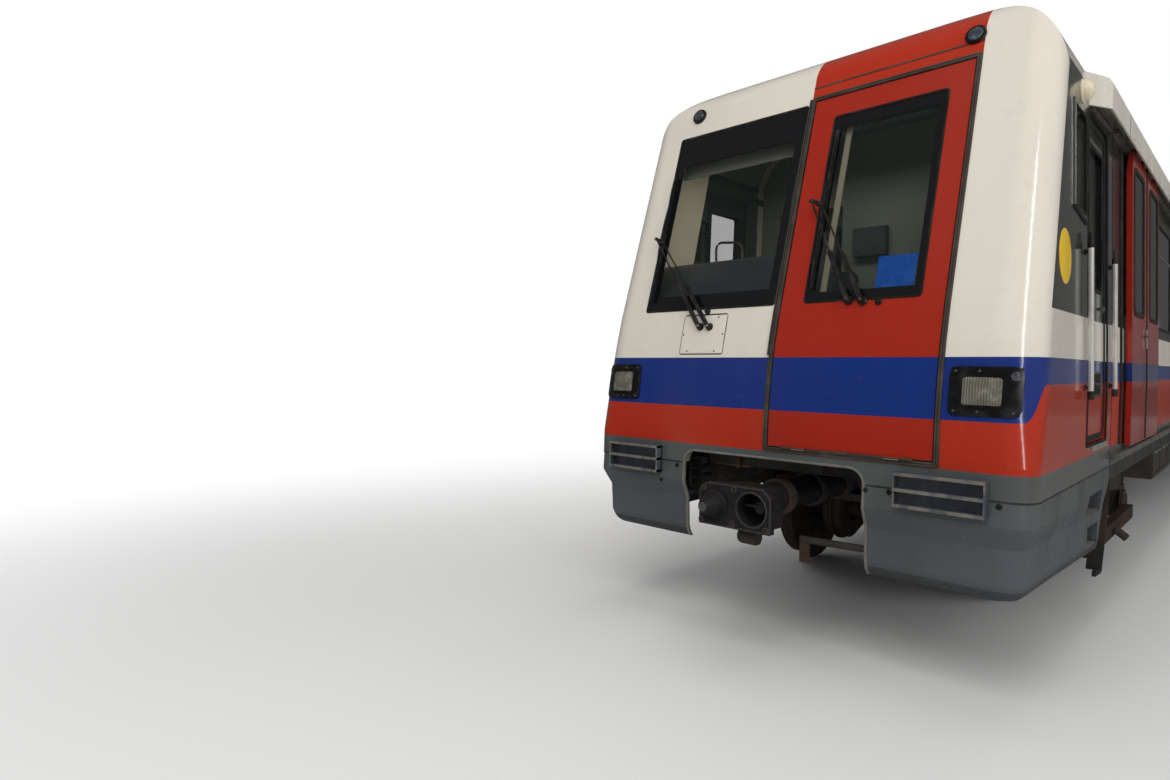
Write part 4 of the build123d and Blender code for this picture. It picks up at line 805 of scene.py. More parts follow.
wiper_black = worn("wiper_enamel", "black_steel", (26, 26, 27), 0.35, ((92, 88, 80), 0.35, 0.06))
SPRING_BOX = [(-0.013, 0.0), (-0.013, 0.014), (-0.008, 0.020), (0.008, 0.020), (0.013, 0.014), (0.013, 0.0)]
BLADE = [(-0.0015, 0.0), (-0.006, 0.012), (-0.009, 0.014), (-0.009, 0.021), (0.009, 0.021), (0.009, 0.014),
         (0.006, 0.012), (0.0015, 0.0)]
BRIDGE = [(-0.006, 0.0), (-0.005, 0.007), (0.005, 0.007), (0.006, 0.0)]
HEAD_BAR = [(-0.011, -0.005), (-0.011, 0.005), (0.011, 0.005), (0.011, -0.005)]
SPINDLE = [(0.024, -0.004), (0.024, 0.008), (0.017, 0.014), (0.017, 0.030), (0, 0.030)]
SPINDLE_NUT = [(0.010, 0.028), (0.010, 0.043), (0.007, 0.047), (0, 0.047)]
TIP_NUT = [(0.006, 0.050), (0.006, 0.070), (0, 0.071)]
HUB = [(0.012, 0.030), (0.012, 0.056), (0, 0.056)]
WIPERS = [
    # name, body, spindles, head, foot and top of the blade as (x, z)
    ("windscreen", "carbody", [(-0.520, 1.839), (-0.452, 1.837)], (-0.952, 2.425), (-0.948, 2.020),
     (-0.962, 2.900)),
    ("front_door", "ramp_door", [(0.410, 1.950), (0.487, 1.942)], (0.158, 2.512), (0.190, 2.030),
     (0.196, 2.960)),
]
HEAD_HALF, BOX_SHARE = 0.034, 0.46
for name, body, spindles, (head_x, head_z), blade_foot, blade_top in WIPERS:
    arms, nuts = [], []
    for spindle, aside in zip(spindles, (-HEAD_HALF, HEAD_HALF)):
        tip = (head_x + aside, head_z - aside * 0.5, 0.052)
        foot = (*spindle, 0.026)
        knee = tuple(a + (b - a) * BOX_SHARE for a, b in zip(foot, tip))
        arms.append(nose_run(between(foot, knee, 4), SPRING_BOX))
        arms.append(nose_run(between((*knee[:2], knee[2] + 0.006), (*tip[:2], 0.060), 6),
                             round_bar(0.0052)))
        arms.append(nose_turned(SPINDLE, *spindle, 20))
        nuts.append(nose_turned(SPINDLE_NUT, *spindle, 6))
        nuts.append(turned(TIP_NUT, on_nose(*tip[:2]), nose_out(spindle[1]), 6))
    ends = [(head_x + way * (HEAD_HALF + 0.012), head_z - way * 0.022, 0.058) for way in (-1, 1)]
    arms.append(nose_run(between(*ends, 4), HEAD_BAR))
    spine = between((*blade_foot, 0.022), (*blade_top, 0.022), 10)
    for low, high, parts, rise in ((2, 8, 8, 0.022), (0, 3, 5, 0.010), (7, 10, 5, 0.010)):
        arms.append(nose_run(between(spine[low], spine[high], parts, rise), BRIDGE))
    arms.append(nose_turned(HUB, head_x, head_z, 12))
    fix(f"{name}_wiper_arms", arms, wiper_black, body)
    blade = nose_run(between((*blade_foot, 0.003), (*blade_top, 0.003), 14), BLADE)
    fix(f"{name}_wiper_blade", blade, window_rubber, body)
    fix(f"{name}_wiper_nuts", nuts, bright_metal, body)

# A washer nozzle stands beside each wiper: a small turned part in black enamel,
# pushed through a hole in the mask.
NOZZLE = [(0.019, -0.002), (0.019, 0.006), (0.013, 0.009), (0.013, 0.024), (0.010, 0.028), (0.004, 0.028),
          (0.003, 0.022), (0, 0.022)]
for name, body, x, z in (("windscreen", "carbody", -0.486, 1.934),
                         ("front_door", "ramp_door", 0.570, 1.936)):
    fix(f"{name}_washer_nozzle", nose_turned(NOZZLE, x, z, 18), wiper_black, body)

# The wiper gear is reached by a flush hatch in the apron, hinged along its top edge and held by small
# screws.
HATCH_X, HATCH_Z = (-0.653, -0.336), (1.673, 1.912)
HATCH_SCREWS = [(-0.399, 1.896), (-0.590, 1.896), (-0.640, 1.792), (-0.350, 1.791), (-0.598, 1.690),
                (-0.395, 1.688)]
HATCH_SCREW_RIM = [(0.0055, -0.001), (0.0055, 0.0008), (0.003, 0.0016), (0, 0.0016)]
HATCH_OUT = 0.0016
fix("apron_hatch", skin_plate([-x for x in HATCH_X[::-1]], HATCH_Z, 0.010, -0.001, HATCH_OUT, -1),
    mask_paint)
gap = nose_run(rounded_line(HATCH_X, HATCH_Z, 0.011, 3, 0.04, 0.002), flat_bead(0.0032, 0.0009), True)
fix("apron_hatch_gap", gap, seam_seal)
hinge = [(HATCH_X[0] + 0.01 + 0.02 * k, HATCH_Z[1] + 0.003) for k in range(16)]
fix("apron_hatch_hinge", nose_run(hinge, flat_bead(0.008, 0.0035)), wiper_black)
lip = [(HATCH_X[0] + 0.01 + 0.03 * k, HATCH_Z[0] - 0.003) for k in range(11)]
fix("apron_hatch_foot_lip", nose_run(lip, flat_bead(0.006, 0.0022)), seam_seal)
screws = [nose_turned(HATCH_SCREW_RIM, x, z, 10, HATCH_OUT) for x, z in HATCH_SCREWS]
fix("apron_hatch_screws", screws, wiper_black)


# The cab's side window is bonded glass with a bright drip moulding at its front edge and a slanting rubber
# one at its foot. A round cream lamp cover sits above it, and a plain yellow disc is stuck on the black
# field ahead.
def side_out(sign):
    return Vector((sign, 0, LEAN_IN)).normalized()


def on_side(sign, n, z, out=0.0):
    return at(sign * half_width(z), n, z) + side_out(sign) * out


def side_plate(sign, n, z, radius, low, high, crown=0.0):
    """A plate on the car's side between two heights over the skin, with rounded corners."""
    mid_n, mid_z = sum(n) / 2, sum(z) / 2
    edge = min(0.004, (high - low) / 2)
    rings = []
    for inset, out in ((0.0, low), (0.0, high - edge), (edge, high)):
        rings.append([on_side(sign, u + (inset if u < mid_n else -inset),
                              v + (inset if v < mid_z else -inset), out)
                      for u, v in rounded(*n, *z, radius, 5)])
    return skin([*rings, [on_side(sign, mid_n, mid_z, high + crown)]], (0,))


def side_run(sign, points, section, closed=False, out=0.0):
    """A moulding along (n, z) points on the side."""
    return sweep([on_side(sign, n, z, out) for n, z in points], side_out(sign), section, closed)


def side_turned(rim, sign, n, z, segments, out=0.0):
    return turned(rim, on_side(sign, n, z, out), side_out(sign), segments)


WINDOW_N, WINDOW_Z = (0.750, 1.070), (2.430, 2.950)
DOME_N, DOME_Z, DOME_R, DOME_OUT, DOME_EDGE = 0.965, 3.060, 0.056, 0.056, 0.008
DOME_RIM = [(DOME_R + 0.006, -0.002), (DOME_R + 0.006, 0.006), (DOME_R, DOME_EDGE)]
for k in range(1, 9):
    a = math.radians(10 * k)
    DOME_RIM.append((DOME_R * math.cos(a), DOME_EDGE + (DOME_OUT - DOME_EDGE) * math.sin(a)))
DOME_RIM.append((0, DOME_OUT))
DISC_N, DISC_Z, DISC_R = 0.544, 2.145, 0.135
DISC_RIM = [(DISC_R, -0.0005), (DISC_R, 0.0006), (DISC_R - 0.001, 0.001), (0, 0.001)]
disc_yellow = worn("disc_enamel", "painted_steel", (226, 186, 30), 0.3, ((150, 128, 60), 0.18, 0.06))
cream_plastic = worn("lamp_cover_cream", "lamp", (226, 214, 186), 0.28, ((130, 118, 96), 0.3, 0.05))
for side, sign in SIDES:
    ring = side_run(sign, rounded_line(WINDOW_N, WINDOW_Z, 0.012, 3, 0.2), flat_bead(0.014, 0.003), True)
    fix(f"cab_window_rubber_{side}", ring, window_rubber)
    line = [(WINDOW_N[0] - 0.004, WINDOW_Z[0]), (WINDOW_N[0] - 0.004, WINDOW_Z[1] + 0.02)]
    fix(f"cab_window_moulding_{side}", side_run(sign, line, flat_bead(0.014, 0.009)), bright_metal)
    line = [(WINDOW_N[0] - 0.01, WINDOW_Z[0] - 0.004), (WINDOW_N[1] - 0.02, WINDOW_Z[0] - 0.05)]
    fix(f"cab_window_foot_strip_{side}", side_run(sign, line, flat_bead(0.022, 0.008)), window_rubber)
    fix(f"side_lamp_cover_{side}", side_turned(DOME_RIM, sign, DOME_N, DOME_Z, 36), cream_plastic)
    fix(f"side_disc_{side}", side_turned(DISC_RIM, sign, DISC_N, DISC_Z, 72), disc_yellow)

# The cab door opens inwards in a thick black rubber with rounded lower corners. It has a flush pull in a
# bright rimmed recess, a lever, a window in its own rubber, a gutter over it and a ribbed aluminium
# threshold under it.
DOOR_N, DOOR_Z = (1.126, 1.711), (1.180, 3.000)
PULL_N, PULL_Z, GRIP_Z = (1.326, 1.573), (1.449, 1.579), 1.514
CAB_DOOR_GLASS_N, CAB_DOOR_GLASS_Z = (1.216, 1.616), (2.050, 2.850)
LEVER_N, LEVER_Z = DOOR_N[1] - 0.082, 1.960
SILL_N, SILL_Z = (1.275, 1.707), (1.136, 1.168)
DOOR_IN = -0.012
KNOB = [(0.022, -0.002), (0.022, 0.004), (0.012, 0.006), (0.012, 0.010), (0, 0.010)]
GUTTER = [(-0.006, 0), (-0.006, 0.012), (-0.001, 0.012), (0.001, 0.003), (0.006, 0.003), (0.006, 0)]
# The pull's recess is a thin near-black plate: its darkness is painted shade for the hollow.
recess_painted_shade = worn("pull_recess", "lamp", (12, 12, 13), 0.4, ((70, 66, 60), 0.3, 0.05))
threshold_metal = worn("threshold_aluminium", "aluminium", (190, 190, 186), 0.45,
                       ((96, 90, 80), 0.45, 0.06), metal=0.7)
for side, sign in SIDES:
    body = f"cab_door_{side}"
    seal = side_run(sign, rounded_line(DOOR_N, DOOR_Z, 0.016, 4, 0.25, 0.006), ribbed(0.016, 0.004), True)
    fix(f"cab_door_seal_{side}", seal, window_rubber)
    lip = side_run(sign, rounded_line(DOOR_N, DOOR_Z, 0.060, 6, 0.25, -0.030), ribbed(0.034, 0.005), True,
                   DOOR_IN)
    fix(f"cab_door_rubber_{side}", lip, window_rubber, body)
    line = rounded_line(CAB_DOOR_GLASS_N, CAB_DOOR_GLASS_Z, 0.030, 5, 0.25)
    ring = side_run(sign, line, ribbed(0.022, 0.004), True, DOOR_IN)
    fix(f"cab_door_window_rubber_{side}", ring, window_rubber, body)
    # A near-black plate inside the rim stands in for the shaded hollow of the recess.
    recess = side_plate(sign, PULL_N, PULL_Z, 0.014, DOOR_IN - 0.001, DOOR_IN + 0.0015, -0.001)
    fix(f"cab_door_pull_recess_{side}", recess, recess_painted_shade, body)
    rim = side_run(sign, rounded_line(PULL_N, PULL_Z, 0.016, 4, 0.1), flat_bead(0.014, 0.006), True,
                   DOOR_IN)
    fix(f"cab_door_pull_rim_{side}", rim, bright_metal, body)
    grip = side_run(sign, [(n, GRIP_Z) for n in grown(PULL_N, -0.03)], round_bar(0.007),
                    out=DOOR_IN + 0.006)
    fix(f"cab_door_pull_{side}", grip, bright_metal, body)
    line = [(LEVER_N, LEVER_Z), (LEVER_N - 0.108, LEVER_Z - 0.008)]
    handle = side_run(sign, line, flat_bead(0.016, 0.007), out=DOOR_IN + 0.007)
    lever = [side_turned(KNOB, sign, LEVER_N, LEVER_Z, 20, DOOR_IN), handle]
    fix(f"cab_door_lever_{side}", lever, bright_metal, body)
    sill = [side_plate(sign, SILL_N, SILL_Z, 0.004, -0.001, 0.014)]
    sill += [side_run(sign, [(n, z) for n in grown(SILL_N, -0.005)], flat_bead(0.004, 0.0025), out=0.014)
             for z in (1.144, 1.152, 1.160)]
    fix(f"cab_door_threshold_{side}", sill, threshold_metal)
    fix(f"cab_door_gutter_{side}", side_run(sign, [(1.227, 3.041), (1.849, 3.062)], GUTTER), aluminium)

# Each handrail ends in a dark cast foot above and a cup below.
# Both are screwed to the cab's side.
RAIL_N, RAIL_Z, RAIL_OUT = (1.026, 1.795), (1.471, 2.254), 0.027
RAIL_TOP = [(0.0142, -0.012), (0.0155, -0.010), (0.0155, 0.020), (0.009, 0.024), (0.009, 0.075), (0, 0.077)]
RAIL_CUP = [(0.0142, 0.010), (0.0160, 0.008), (0.0165, -0.030), (0.012, -0.036), (0, -0.036)]
RAIL_POST = [(0.018, -0.001), (0.018, 0.003), (0.011, 0.006), (0.0105, 0.016)]
for side, sign in SIDES:
    feet = []
    for n in RAIL_N:
        foot, top = (on_side(sign, n, z, RAIL_OUT) for z in RAIL_Z)
        upward = (top - foot).normalized()
        feet += [turned(RAIL_TOP, top, upward, 18), turned(RAIL_CUP, foot, upward, 18)]
        feet += [side_turned(RAIL_POST, sign, n, z, 18) for z in grown(RAIL_Z, -0.030)]
    fix(f"cab_handrail_feet_{side}", feet, wiper_black)

# Between the cab and the first doorway the wall carries a raised black post, the doorway's weather edge. A
# sealed seam joins the cab to the saloon.
POST_N, POST_Z = (2.190, 2.245), (1.115, 1.5, 3.040)
for side, sign in SIDES:
    post = side_run(sign, [(sum(POST_N) / 2, z) for z in POST_Z], ribbed(POST_N[1] - POST_N[0], 0.009))
    fix(f"doorway_post_{side}", post, window_rubber)
    seam = side_run(sign, [(CAB_L, z) for z in (1.0, 1.5, 3.055)], flat_bead(0.008, 0.0015))
    fix(f"cab_to_saloon_seam_{side}", seam, seam_seal)

# The leaves carry the blue band. Each has a tall window with rounded corners in a brown-black rubber, a
# rubber nose along the meeting edge, and on the front leaf of a pair a bright T-handled lock.
DOOR_CENTRES, DOOR_PITCH, LEAF_OUT = [3.050, 7.600, 12.150, 16.700], 4.550, 0.048
LEAF_GAP, LEAF_W = 0.003, 0.715
LEAF_WINDOW_EDGE, LEAF_WINDOW_Z = (0.156, 0.086), (1.980, 2.950)
LIP_Z, LOCK_IN, LOCK_Z = (1.100, 1.5, 3.050), 0.075, 1.840
ROSE = [(0.028, -0.001), (0.028, 0.003), (0.014, 0.006), (0.011, 0.014), (0, 0.014)]
leaf = Finish("leaf_enamel_banded", "red_paint", (150, 32, 22), 0.16)
leaf.coat(leaf.within(leaf.z, BLUE_SIDE_Z, BLUE_TOP_Z), (26, 44, 104))
leaf.line_inside(LINING_CREAM, edges=False)
leaf.weather((92, 58, 50), 0.25, 0.5, 0.25)
leaf.grain(0.012, 0.00008)
leaf.varnish(0.5, 0.06)
from_first = leaf.sum("SUBTRACT", leaf.y, NOSE_Y + DOOR_CENTRES[0])
from_centre = leaf.sum("ABSOLUTE", leaf.sum("WRAP", from_first, DOOR_PITCH / 2))
LEAF_CUT, LEAF_CUT_Z = (0.1593, 0.6317), (1.9803, 2.9497)
window = leaf.all_of(leaf.within(from_centre, *LEAF_CUT), leaf.within(leaf.z, *LEAF_CUT_Z))
leaf.feed("Alpha", leaf.sum("SUBTRACT", 1.0, window))
leaf_finish = leaf.done()
leaf_rubber = worn("leaf_window_rubber", "rubber", (48, 38, 32), 0.55, ((92, 80, 68), 0.35, 0.08))
leaf_glass = glazing("leaf_glass", DARK_TINT, 0.80)
leaves = [(number, centre, side, sign, end_name, way) for number, centre in enumerate(DOOR_CENTRES, start=1)
          for side, sign in SIDES for end_name, way in (("front", -1), ("rear", 1))]
for number, centre, side, sign, end_name, way in leaves:
    body = f"leaf_{number}_{side}_{end_name}"
    dress(leaf_finish, body)
    near = centre + way * LEAF_GAP
    glass_n = sorted((near + way * LEAF_WINDOW_EDGE[0], near + way * (LEAF_W - LEAF_WINDOW_EDGE[1])))
    pane_n, pane_z = grown(glass_n, -0.004), grown(LEAF_WINDOW_Z, -0.004)
    pane = side_plate(sign, pane_n, pane_z, 0.05, LEAF_OUT - 0.006, LEAF_OUT - 0.002)
    fix(f"{body}_glass", pane, leaf_glass, body, smooth=False)
    line = rounded_line(glass_n, LEAF_WINDOW_Z, 0.055, 5, 0.4)
    ring = side_run(sign, line, ribbed(0.034, 0.005), True, LEAF_OUT)
    fix(f"{body}_window_rubber", ring, leaf_rubber, body)
    lip = side_run(sign, [(near + way * 0.012, z) for z in LIP_Z], flat_bead(0.022, 0.003), out=LEAF_OUT)
    fix(f"{body}_edge_rubber", lip, window_rubber, body)
    if end_name == "front":
        lock_n = near + way * LOCK_IN
        cross = [(lock_n - 0.045, LOCK_Z), (lock_n + 0.045, LOCK_Z)]
        stem = [(lock_n, LOCK_Z - 0.085), (lock_n, LOCK_Z + 0.055)]
        lock = [side_turned(ROSE, sign, lock_n, LOCK_Z, 20, LEAF_OUT),
                side_run(sign, cross, flat_bead(0.014, 0.008), out=LEAF_OUT + 0.013),
                side_run(sign, stem, flat_bead(0.014, 0.007), out=LEAF_OUT + 0.006)]
        fix(f"{body}_lock", lock, bright_metal, body)

# A rolled aluminium plate with raised ribs covers each doorway's sill.
# It is screwed to the floor's edge.
SILL_PLATE_X, PLATE_TOP_Z, PLATE_HALF, RIB_HALF, RIB_PITCH = 1.276, 1.180, 0.556, 0.55, 0.018
RIB = [(-0.003, -0.001), (0, 0.002), (0.003, -0.001)]
upwards = Vector((0, 0, 1))


def strap(half, low, high):
    """The section of a flat bar."""
    return [(-half, low), (-half, high), (half, high), (half, low)]


def bar(start, end, out, section):
    """A straight bar between two (x, n, z) places."""
    return sweep([at(*start), at(*end)], out, section)


plates = []
for centre in DOOR_CENTRES:
    for sign in (-1, 1):
        x = sign * SILL_PLATE_X
        ends = [(x, centre + half, PLATE_TOP_Z) for half in (-PLATE_HALF, PLATE_HALF)]
        plates.append(bar(*ends, upwards, strap(0.036, -0.002, 0.003)))
        for k in range(4):
            rib_x = x + (k - 1.5) * RIB_PITCH
            ends = [(rib_x, centre + half, PLATE_TOP_Z + 0.003) for half in (-RIB_HALF, RIB_HALF)]
            plates.append(bar(*ends, upwards, RIB))
fix("doorway_sill_plates", plates, threshold_metal)

# The saloon windows are toughened glass, bonded in a wide black rubber.
# A bar parts off a hopper light above.
BAYS = [(3.610, 7.040), (8.160, 11.590), (12.710, 16.140), (17.260, 19.350)]
WINDOW_EDGE, WINDOWS, PANE_Z, HOPPER_Z = 0.330, 2, (1.960, 2.860), 2.600
for side, sign in SIDES:
    rings, bars = [], []
    for n0, n1 in BAYS:
        each = (n1 - n0 - (WINDOWS + 1) * WINDOW_EDGE) / WINDOWS
        for k in range(WINDOWS):
            start = n0 + WINDOW_EDGE + k * (each + WINDOW_EDGE)
            span = start, start + each
            line = rounded_line(span, PANE_Z, 0.050, 5, 0.6, -0.004)
            rings.append(side_run(sign, line, ribbed(0.026, 0.004), True))
            line = [(n, HOPPER_Z) for n in grown(span, -0.01)]
            bars.append(side_run(sign, line, flat_bead(0.022, 0.005), out=-0.003))
    fix(f"saloon_window_rubbers_{side}", rings, window_rubber)
    fix(f"saloon_window_hopper_bars_{side}", bars, aluminium)

# The cant rail cover is bolted on in lengths. Butt straps show at the joints, and a row of screws along its
# foot.
COVER_OUT, COVER_Z, JOINT_N, JOINT_PITCH = 1.354, (3.042, 3.100, 3.175), 1.94, 2.275
SCREW_N, SCREW_PITCH, SCREW_Z = 2.10, 0.650, 3.060
COVER_SCREW = [(0.007, -0.001), (0.007, 0.002), (0.003, 0.003), (0, 0.003)]
for side, sign in SIDES:
    out = Vector((sign, 0, 0))
    straps = [sweep([at(sign * COVER_OUT, JOINT_N + JOINT_PITCH * k, z) for z in COVER_Z], out,
                    flat_bead(0.006, 0.0012)) for k in range(8)]
    fix(f"cant_rail_cover_joints_{side}", straps, seam_seal)
    heads = [turned(COVER_SCREW, at(sign * COVER_OUT, SCREW_N + SCREW_PITCH * k, SCREW_Z), out, 10)
             for k in range(26)]
    fix(f"cant_rail_cover_screws_{side}", heads, aluminium)

# The coupler opening has a turned lip all round in a lighter grey than the skirt. Raised screws hold the
# skirt to the mask, plates close the anti-climbers' ends, and each step cup has a worn tread plate on its
# floor.
lip_grey = worn("skirt_lip", "grey_skirt", (118, 116, 108), 0.45, ((74, 66, 56), 0.5, 0.08))
SKIRT_FRONT = [
    # height, n of the skirt's front face
    (0.522, 0.090), (0.540, 0.071), (0.565, 0.058), (0.600, 0.048), (0.775, 0.042), (0.862, 0.004),
    (0.882, -0.003), (0.998, 0.003), (1.150, 0.004),
]
LIP_SIDE_Z = (0.524, 0.540, 0.565, 0.600, 0.690, 0.775, 0.820, 0.862, 0.882, 0.940)
LIP_SECTION = [(-0.007, -0.012), (-0.007, 0.003), (-0.003, 0.006), (0.004, 0.006), (0.007, 0.002),
               (0.007, -0.012)]
for side, sign in SIDES:
    lip = [(OPENING_HALF, z) for z in LIP_SIDE_Z]
    lip += [(OPENING_HALF - OPENING_R * (1 - c), OPENING_TOP - OPENING_R * (1 - s)) for s, c in turns]
    lip += [(0.3, OPENING_TOP), (0.0, OPENING_TOP)]
    path = [at(sign * x, along_table(SKIRT_FRONT, z), z) for x, z in lip]
    fix(f"coupler_opening_lip_{side}", sweep(path, forwards, LIP_SECTION), lip_grey)
SKIRT_SCREWS = [(-0.745, 0.972), (-0.617, 0.972), (-0.743, 0.869), (0.574, 0.972), (0.693, 0.976),
                (1.178, 0.975), (-1.178, 0.975)]
RAISED_SCREW = [(0.014, -0.002), (0.014, 0.002), (0.009, 0.003), (0.009, 0.007), (0.004, 0.008),
                (0.003, 0.005), (0, 0.005)]
screws = [turned(RAISED_SCREW, at(x, along_table(SKIRT_FRONT, z), z), forwards, 14)
          for x, z in SKIRT_SCREWS]
fix("skirt_screws", screws, wiper_black)
END_XS, END_N, END_Z = (-1.134, -0.736, 0.736, 1.134), -0.034, (0.920, 1.086)
plates = [bar(*((x, END_N, z) for z in END_Z), forwards, strap(0.004, -0.024, 0.028)) for x in END_XS]
fix("anti_climber_end_plates", plates, climber_paint)
STEP_CUPS = [((1.286, 1.664), 0.755), ((1.346, 1.609), 0.565)]
STEP_X = 1.245
for side, sign in SIDES:
    treads = [bar((sign * STEP_X, n0, z), (sign * STEP_X, n1, z), upwards, strap(0.052, 0.0005, 0.004))
              for (n0, n1), z in STEP_CUPS]
    fix(f"step_cup_treads_{side}", treads, lip_grey)

# A guard faced with black rubber hangs from the sole bar behind each skirt.
# It keeps wheel spray off the cab steps.
GUARD_X, GUARD = 1.285, [(2.050, 0.905), (2.035, 0.720), (1.965, 0.530), (1.865, 0.335)]
for side, sign in SIDES:
    x, out = sign * GUARD_X, Vector((sign, 0, 0))
    guard = sweep([at(x, n, z) for n, z in GUARD], out, strap(0.007, -0.070, 0.012))
    foot = bar((x, 1.885, 0.335), (x, 1.690, 0.350), out, strap(0.016, -0.012, 0.008))
    fix(f"spray_guard_{side}", [guard, foot], chassis_black)

# The coupler's face: a cast cone that enters the other coupler's cup, the cup's own rim, a guide bar across
# the cup, bushed bolt holes in the plate and its machined rim.
FACE_N, COUPLER_Z, CONE_X, CUP_X = -0.310, 0.840, -0.122, 0.106
GUIDE_X, GUIDE_Z, GUIDE_IN, HUB_IN = (0.022, 0.190), 0.846, 0.085, 0.148
CONE = [(0.078, -0.003), (0.078, 0.004), (0.070, 0.010), (0.062, 0.045), (0.046, 0.085), (0.034, 0.105),
        (0.026, 0.112), (0, 0.112)]
CONE_TIP = [(0.026, 0.110), (0.024, 0.118), (0.014, 0.121), (0, 0.121)]
CUP_RIM = [(0.097, -0.002), (0.097, 0.003), (0.093, 0.006), (0.088, 0.006), (0.086, 0.001), (0.086, -0.010)]
CUP_HUB = [(0.042, 0.0), (0.042, 0.045), (0.030, 0.060), (0, 0.060)]
BUSH = [(0.019, -0.002), (0.019, 0.005), (0.015, 0.007), (0.010, 0.006), (0.009, 0.0), (0, 0.0)]
BUSHES = [(0.0, 0.935), (-0.008, 0.748), (0.196, 0.745), (-0.204, 0.745), (-0.190, 0.925)]
PLATE_EDGE = [(-0.220, 0.724), (0.220, 0.724), (0.220, 0.911), (0.175, 0.956), (-0.175, 0.956),
              (-0.220, 0.911)]
cone_foot, cup_foot = at(CONE_X, FACE_N, COUPLER_Z), at(CUP_X, FACE_N, COUPLER_Z)
bare = under_gear("coupler_bare_edge", "cast_steel", (86, 84, 82), 0.35, 0.2, 0.05, 0.6, 0.0004)
fix("coupler_cone", turned(CONE, cone_foot, forwards, 36), coupler_steel, "coupler_front")
fix("coupler_cone_tip", turned(CONE_TIP, cone_foot, forwards, 24), bright_metal, "coupler_front")
fix("coupler_cup_rim", turned(CUP_RIM, cup_foot, forwards, 48), bare, "coupler_front")
guide = bar(*((x, FACE_N + GUIDE_IN, GUIDE_Z) for x in GUIDE_X), forwards, round_bar(0.009))
hub = turned(CUP_HUB, at(CUP_X, FACE_N + HUB_IN, COUPLER_Z), forwards, 24)
fix("coupler_cup_guide", [guide, hub], bare, "coupler_front")
bushes = [turned(BUSH, at(x, FACE_N, z), forwards, 20) for x, z in BUSHES]
fix("coupler_bushes", bushes, bare, "coupler_front")
path = [at(x * 0.985, FACE_N, COUPLER_Z + (z - COUPLER_Z) * 0.97) for x, z in PLATE_EDGE]
fix("coupler_plate_rim", sweep(path, forwards, flat_bead(0.010, 0.003), True), bare, "coupler_front")

# Under the coupler's plate hangs its cast air cock on a short stem.
# Cast collars are clamped round the shank.
COCK = [(0.040, -0.055), (0.044, -0.045), (0.044, 0.045), (0.040, 0.055), (0, 0.055)]
COCK_X, COCK_N, COCK_Z, STEM_Z = 0.04, FACE_N + 0.10, 0.675, (0.745, 0.690)
COLLAR_NS = (0.160, 0.560, 0.900)
COLLAR = [(0.088, -0.03), (0.106, -0.03), (0.106, 0.03), (0.088, 0.03)]
x_axis = Vector((1, 0, 0))
block = turned(COCK, at(COCK_X, COCK_N, COCK_Z), x_axis, 12)
stem = bar(*((COCK_X, COCK_N, z) for z in STEM_Z), forwards, round_bar(0.022, 12))
fix("coupler_air_cock", [block, stem], cast_black, "coupler_front")
collars = [turned(COLLAR, at(0.0, n, COUPLER_Z), forwards, 32) for n in COLLAR_NS]
fix("coupler_shank_collars", collars, cast_black, "coupler_front")


# Behind the opening, bent brass air pipes run on the left.
# On the right a folded steel jumper tray carries its conduits.
def pipe(points, radius, bend=0.035):
    """A rigid pipe through (x, n, z) points with its corners bent round."""
    places = [at(*point) for point in points]
    line = [places[0]]
    for before, corner, after in zip(places, places[1:], places[2:]):
        back, onward = (before - corner).normalized() * bend, (after - corner).normalized() * bend
        line += [corner + back * (1 - k / 5) ** 2 + onward * (k / 5) ** 2 for k in range(6)]
    line.append(places[-1])
    outs = []
    for before, after in zip(line[:1] + line, line[1:] + line[-1:]):
        way = (after - before).normalized()
        hint = upwards if abs(way.z) < 0.8 else x_axis
        outs.append((hint - way * hint.dot(way)).normalized())
    return sweep(line, outs, round_bar(radius, 12))


pipe_brass = worn("pipe_brass", "cast_steel", (150, 118, 66), 0.4, ((60, 48, 36), 0.6, 0.06), metal=0.7)
air = [
    pipe([(-0.66, 0.36, 1.030), (-0.40, 0.36, 1.030), (-0.36, 0.30, 1.030), (-0.36, 0.30, 0.952)], 0.011),
    pipe([(-0.66, 0.40, 0.990), (-0.44, 0.40, 0.990), (-0.44, 0.70, 0.990)], 0.013),
    pipe([(-0.62, 0.37, 0.962), (-0.30, 0.37, 0.962), (-0.30, 0.37, 1.060)], 0.009),
]
fix("front_air_pipes", air, pipe_brass)
tray = [
    bar((0.20, 0.345, 1.025), (0.56, 0.345, 1.025), forwards, strap(0.05, 0, 0.05)),
    bar((-0.20, 0.40, 1.035), (0.16, 0.40, 1.035), forwards, strap(0.055, 0, 0.03)),
    pipe([(0.10, 0.42, 0.985), (0.60, 0.42, 0.985), (0.60, 0.90, 0.985)], 0.030),
    pipe([(0.34, 0.50, 1.08), (0.34, 0.50, 0.90), (0.80, 0.50, 0.90)], 0.020),
]
fix("front_jumper_tray", tray, chassis_black)

# Each axle box is a casting with a bolted round cover on its end; a coil spring in seats stands over it,
# and a damper leans beside it. The secondary springs are rubber air bellows between two plates.
BOGIES = (("front", 3.100, 1), ("rear", 16.250, 3))
BOX_FACE_X, SPRING_X, AXLE_Z, HALF_BASE = 1.105, 1.000, 0.460, 1.050
DAMPER_X, DAMPER_BEHIND, DAMPER_FOOT_Z, DAMPER_EYE_Z = 1.055, 0.205, 0.500, 0.520
BLOCK_X, BLOCK_AHEAD, BLOCK_Z, AIR_SPRING_Z = 0.745, 0.480, (0.360, 0.560), 0.7005
BOX_COVER = [(0.105, -0.004), (0.105, 0.010), (0.088, 0.018), (0.060, 0.022), (0.052, 0.034), (0, 0.036)]
BOX_BOLT = [(0.012, 0.008), (0.012, 0.026), (0, 0.027)]
DAMPER = [(0.026, 0.0), (0.030, 0.004), (0.030, 0.110), (0.034, 0.112), (0.034, 0.190), (0, 0.190)]
DAMPER_EYE = [(0.016, -0.06), (0.030, -0.06), (0.030, -0.03), (0.016, -0.03)]
